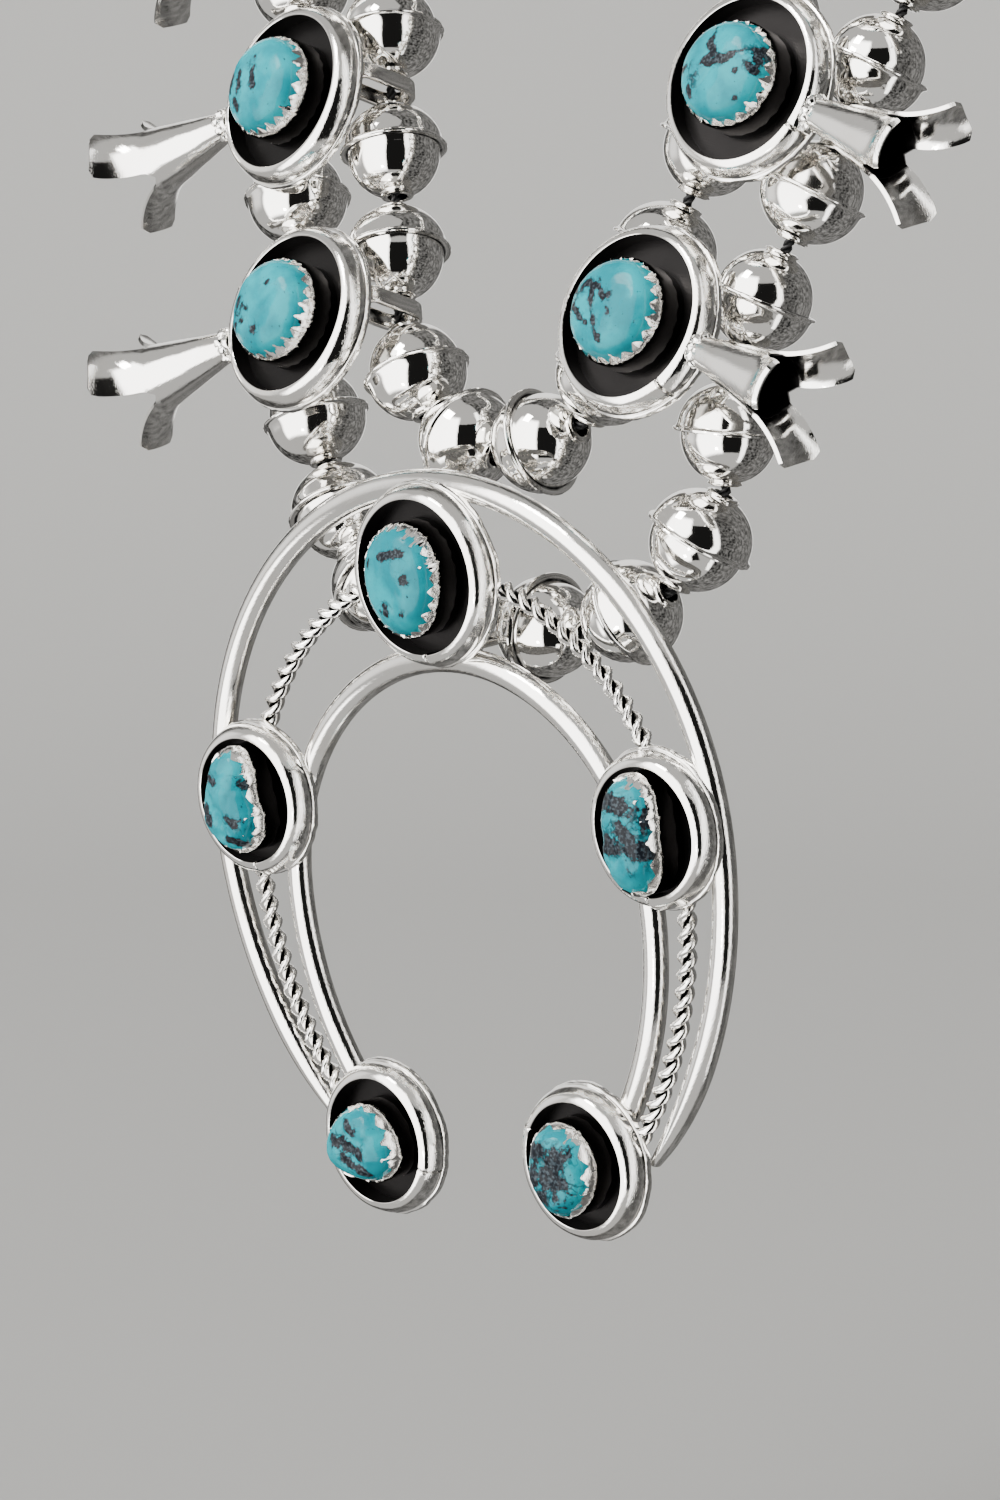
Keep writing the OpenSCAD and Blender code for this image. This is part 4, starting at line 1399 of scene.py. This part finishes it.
# %% [markdown]
# The lines of the round stones were chosen as the camera sees them, x to the right and y up, so
# they are turned into the stone's own frame before they are drawn.

# %% The round stones
STONE_H = 6.4
ROUND_RIPPLE = 0.16
# For each stone that shows, its lines of matrix: a width, then points.
ROUND_MATRIX = {
    "right_2": [(0.36, (0.1, 3.8), (-0.4, 2.4), (0.5, 1.4), (1.1, 0.35)),
                (0.4, (-4.6, 0.9), (-1.8, 0.5), (1.1, 0.35), (3.6, 0.9), (4.9, 0.9), (4.8, -0.3)),
                (0.34, (-1.8, 0.5), (0.5, 1.4)), (0.55, (-2.3, 0.2), (-3.3, -1.7)),
                (0.36, (3.1, 0.2), (4.4, -1.4)), (0.28, (2.1, -3.8), (2.2, -3.7)),
                (0.28, (2.6, -1.2), (2.7, -1.1))],
    "right_1": [(0.32, (-3.7, 3.0), (-3.2, 1.7), (-4.0, 1.0), (-3.1, -0.2), (-2.2, -1.5)),
                (0.5, (-2.7, 2.3), (-2.0, 3.0), (-0.7, 2.2)), (0.32, (-1.0, 1.9), (-1.1, -0.5), (-0.6, -3.5)),
                (0.34, (-0.1, 3.0), (0.0, 1.7), (0.4, 0.6), (1.2, 0.9), (0.9, -1.1))],
    "left_2": [(0.45, (0.2, 2.4), (0.3, -0.8)), (0.36, (-2.0, 1.4), (-2.3, -0.7)),
               (0.4, (-3.5, 1.6), (-4.2, -0.2)), (0.36, (-3.0, -1.4), (-2.5, -2.5))],
    "left_1": [(0.36, (-3.1, 1.4), (-3.9, -1.8)),
               (0.3, (-1.6, -0.3), (-2.5, 0.4), (-3.4, -0.5), (-2.6, -1.3)),
               (0.5, (-0.7, -3.0), (-0.6, -2.9)), (0.28, (1.5, 1.8), (1.6, 1.9))],
}


def as_seen(strokes, frame_of_stone):
    """Strokes given as the camera sees them, in the frame of the stone."""
    across = (frame_of_stone.inverted().to_3x3() @ view_right).xy.normalized()
    upwards = Vector((-across.y, across.x))
    return [(*(x0 * across + y0 * upwards), *(x1 * across + y1 * upwards), width)
            for x0, y0, x1, y1, width in strokes]


CHANCE_STROKES = 4
CHANCE_REACH = 2.6
CHANCE_LENGTHS = (0.6, 2.4)
CHANCE_WIDTHS = (0.3, 0.5)


def chance_strokes(seed):
    """Strokes for a stone that the photograph doesn't show."""
    draw = np.random.default_rng(seed)
    strokes = []
    for _ in range(CHANCE_STROKES):
        x, y = draw.uniform(-CHANCE_REACH, CHANCE_REACH, 2)
        turn, length = draw.uniform(0, 2 * math.pi), draw.uniform(*CHANCE_LENGTHS)
        end = (x + length * math.cos(turn), y + length * math.sin(turn))
        strokes.append((x, y, *end, draw.uniform(*CHANCE_WIDTHS)))
    return strokes


for seed, name in enumerate(BLOSSOMS, 1):
    strokes = stretches(ROUND_MATRIX[name]) if name in ROUND_MATRIX else chance_strokes(seed)
    strokes = as_seen(strokes, blossom_frames[name])
    mesh = stone_mesh("round stone", circle(STONE_R, 36), STONE_H, strokes, seed, ROUND_RIPPLE)
    mesh.transform(blossom_frames[name] @ Matrix.Translation((0, 0, FRONT_Z + PLATE_T + STONE_CLEAR)))
    finished("turquoise_" + name, mesh, turquoise, "strands", "turquoise", "stone_" + name)
print("a round stone has", len(mesh.polygons), "faces")

# %% The pendant's stones
NUGGET_H = 5.9
NUGGET_MATRIX = [
    [(0.4, (-1.0, 2.7), (2.1, 3.2)), (0.34, (-3.0, 1.9), (-2.7, 2.1)), (0.5, (2.3, 0.3), (2.5, 0.5)),
     (0.6, (-0.9, -2.9), (-0.7, -2.6)), (0.3, (1.3, -3.2), (1.5, -3.2))],
    [(0.45, (-2.1, 3.5), (-0.6, 2.7)), (0.5, (-2.5, -0.3), (-1.7, -1.9)), (0.5, (1.0, -1.3), (3.0, -1.9)),
     (0.4, (0.6, -3.5), (2.2, -4.0)), (0.4, (2.2, 2.9), (3.4, 1.9))],
    [(1.0, (-1.9, 4.0), (2.8, 2.2)), (1.2, (-1.9, -0.3), (3.2, -1.3)), (0.9, (-0.3, 1.3), (2.4, 0.8)),
     (0.4, (1.2, -3.0), (1.3, -3.1))],
    [(0.8, (-1.8, 1.0), (1.3, -0.5)), (0.45, (-0.2, 2.7), (0.9, 1.6)), (0.45, (-1.0, -1.1), (2.1, -2.7))],
    [(1.1, (-2.1, 2.1), (1.8, 1.6)), (1.2, (-2.1, -0.5), (2.2, -0.8)), (0.9, (-1.3, -2.7), (1.4, -2.9))],
]
OVAL_RIPPLE, NUGGET_RIPPLE = 0.12, 0.45
for number, (box, lines) in enumerate(zip(NAJA_BOXES, NUGGET_MATRIX), 1):
    mesh = stone_mesh("nugget", outlines[number - 1], NUGGET_H, stretches(lines), 30 + number,
                      OVAL_RIPPLE if number == 1 else NUGGET_RIPPLE)
    mesh.transform(naja_frame @ Matrix.Translation((*box[0], NAJA_PLATE_Z + PLATE_T + STONE_CLEAR)))
    finished("turquoise_naja_%d" % number, mesh, turquoise, "pendant", "turquoise",
             "naja_stone_%d" % number)
print("a nugget has", len(mesh.polygons), "faces")

# %% [markdown]
# The clasp is out of sight in the photograph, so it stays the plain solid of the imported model
# and only takes the silver finish.

# %% The clasp
clasp = frame["nodes"]["clasp"]
clasp.data.materials.clear()
clasp.data.materials.append(wire_silver)

# %% [markdown]
# The stage is a plain pale floor that bends up into a backdrop. It is solid from its front only,
# so a camera behind it looks through it at the necklace. Polished silver shows little of
# itself and much of the room, so the room is painted on the world by direction: a pale wall in
# front, a light patch and a wide bright window in it, a black panel beside the window, a narrow
# bright gap at the far right, and behind a mottled dark grey with one lit patch. The camera sees
# a plain sky in place of it. The floor is left out of reflections, so the silver keeps that
# contrast down to its lower edges.

# %% Floor and backdrop
FLOOR_DROP = 0.045
FLOOR_HALF = 2.4
FLOOR_GREY = (0.4, 0.4, 0.393, 1)
SWEEP = [(-2.4, 0.0), (0.9, 0.0), (1.05, 0.01), (1.18, 0.05), (1.28, 0.11), (1.36, 0.20), (1.42, 0.32),
         (1.45, 0.46), (1.46, 2.2)]
floor_foot = Vector((bail.x, bail.y, cad_low.z - FLOOR_DROP))
back = -direction(AZIMUTH, 0)
floor_points = [floor_foot + back * depth + side * FLOOR_HALF * view_right + Vector((0, 0, rise))
                for depth, rise in SWEEP for side in (-1, 1)]
floor_mesh = bpy.data.meshes.new("floor")
floor_mesh.from_pydata([tuple(p) for p in floor_points], [],
                       [(2 * i, 2 * i + 1, 2 * i + 3, 2 * i + 2) for i in range(len(SWEEP) - 1)])
floor_mesh.shade_smooth()
floor_paint, floor_tree, floor_shader = new_material("pale_floor")
feed(floor_shader, {"Base Color": FLOOR_GREY, "Roughness": 0.9})
feed(floor_tree.nodes["Material Output"], {"Surface": made(floor_tree, "ShaderNodeMixShader", {
    0: made(floor_tree, "ShaderNodeNewGeometry", key="Backfacing"), 1: output(floor_shader),
    2: made(floor_tree, "ShaderNodeBsdfTransparent")})})
floor_mesh.materials.append(floor_paint)
floor = plain_object("floor", floor_mesh)
floor.visible_glossy = False
floor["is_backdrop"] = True
print("floor facing", [round(v, 2) for v in floor_mesh.polygons[0].normal])

# %% The room, painted by direction
world = bpy.data.worlds.new("studio")
bpy.context.scene.world = world
world.use_nodes = True
sky = world.node_tree
sky_way = made(sky, "ShaderNodeTexCoord", key="Generated")
way = add(sky, "ShaderNodeSeparateXYZ", {"Vector": sky_way})
turn = output(way, "X").maths("ARCTAN2", output(way, "Y") * -1.0) * (180 / math.pi)
rise = output(way, "Z").maths("ARCSINE") * (180 / math.pi)


def inside(value, low, high, edge):
    """1 from low to high and 0 outside, with soft edges."""
    return (mapped(value, low - edge, low + edge, soft=True)
            * mapped(value, high + edge, high - edge, soft=True))


# Left and right in degrees round from the front, low and high above the horizon, edge, brightness.
ROOM = [
    (-91, 90, -88, 88, 2, 0.6),
    (-76, -48, -14, 28, 8, 1.5),
    (-40, 25, -40, 48, 5, 6.5),
    (26, 74, -40, 34, 1.2, 0.012),
    (75, 88, -62, 60, 1.2, 4.0),
    (-150, -118, -10, 55, 5, 1.6),
]
mottled = noise_at(sky_way, scale=14.0, detail=3.0).maths("SUBTRACT", 0.4, clamp=True) * 0.9 + 0.02
brightness = mapped(abs(turn), 122, 140, soft=True) * 0.07 + mottled
for left, right, low, high, edge, value in ROOM:
    window = inside(turn, left, right, edge) * inside(rise, low, high, edge)
    brightness = between(window, brightness, value)
SEEN_DIRECTLY = 0.9
direct = made(sky, "ShaderNodeLightPath", key="Is Camera Ray")
feed(sky.nodes["Background"], {
    "Strength": between(direct, brightness, SEEN_DIRECTLY), "Color": (1.0, 0.985, 0.96, 1)})
print("the room has", len(ROOM), "painted areas")


# %% Two soft lights
def area_light(name, azimuth, elevation, distance, size, power):
    """A soft square light that looks at the pendant, placed by its direction from it."""
    way_out = direction(azimuth, elevation)
    light = bpy.data.objects.new(name, bpy.data.lights.new(name, "AREA"))
    bpy.context.scene.collection.objects.link(light)
    light.data.size = size
    light.data.energy = power
    light.data.color = (1.0, 0.98, 0.95)
    light.location = bail + way_out * distance
    light.rotation_mode = "QUATERNION"
    light.rotation_quaternion = way_out.to_track_quat("Z", "Y")
    light.visible_camera = False


area_light("key_light", azimuth=-18, elevation=52, distance=1.1, size=0.30, power=6)
area_light("low_light", azimuth=12, elevation=-28, distance=1.0, size=0.10, power=0.8)

# %% [markdown]
# The dressed necklace should keep the imported model's size, so the change of its box from
# the imported model's box is printed at the end.

# %% Sizes, and the end
low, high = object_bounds()
added = [o for o in bpy.context.scene.objects if o.type == "MESH" and o.name not in frame["nodes"]]
print("triangles added:", sum(len(f.vertices) - 2 for o in added for f in o.data.polygons))
print("change of the box in mm:", [round(1000 * v, 2) for v in (*(low - cad_low), *(high - cad_high))])
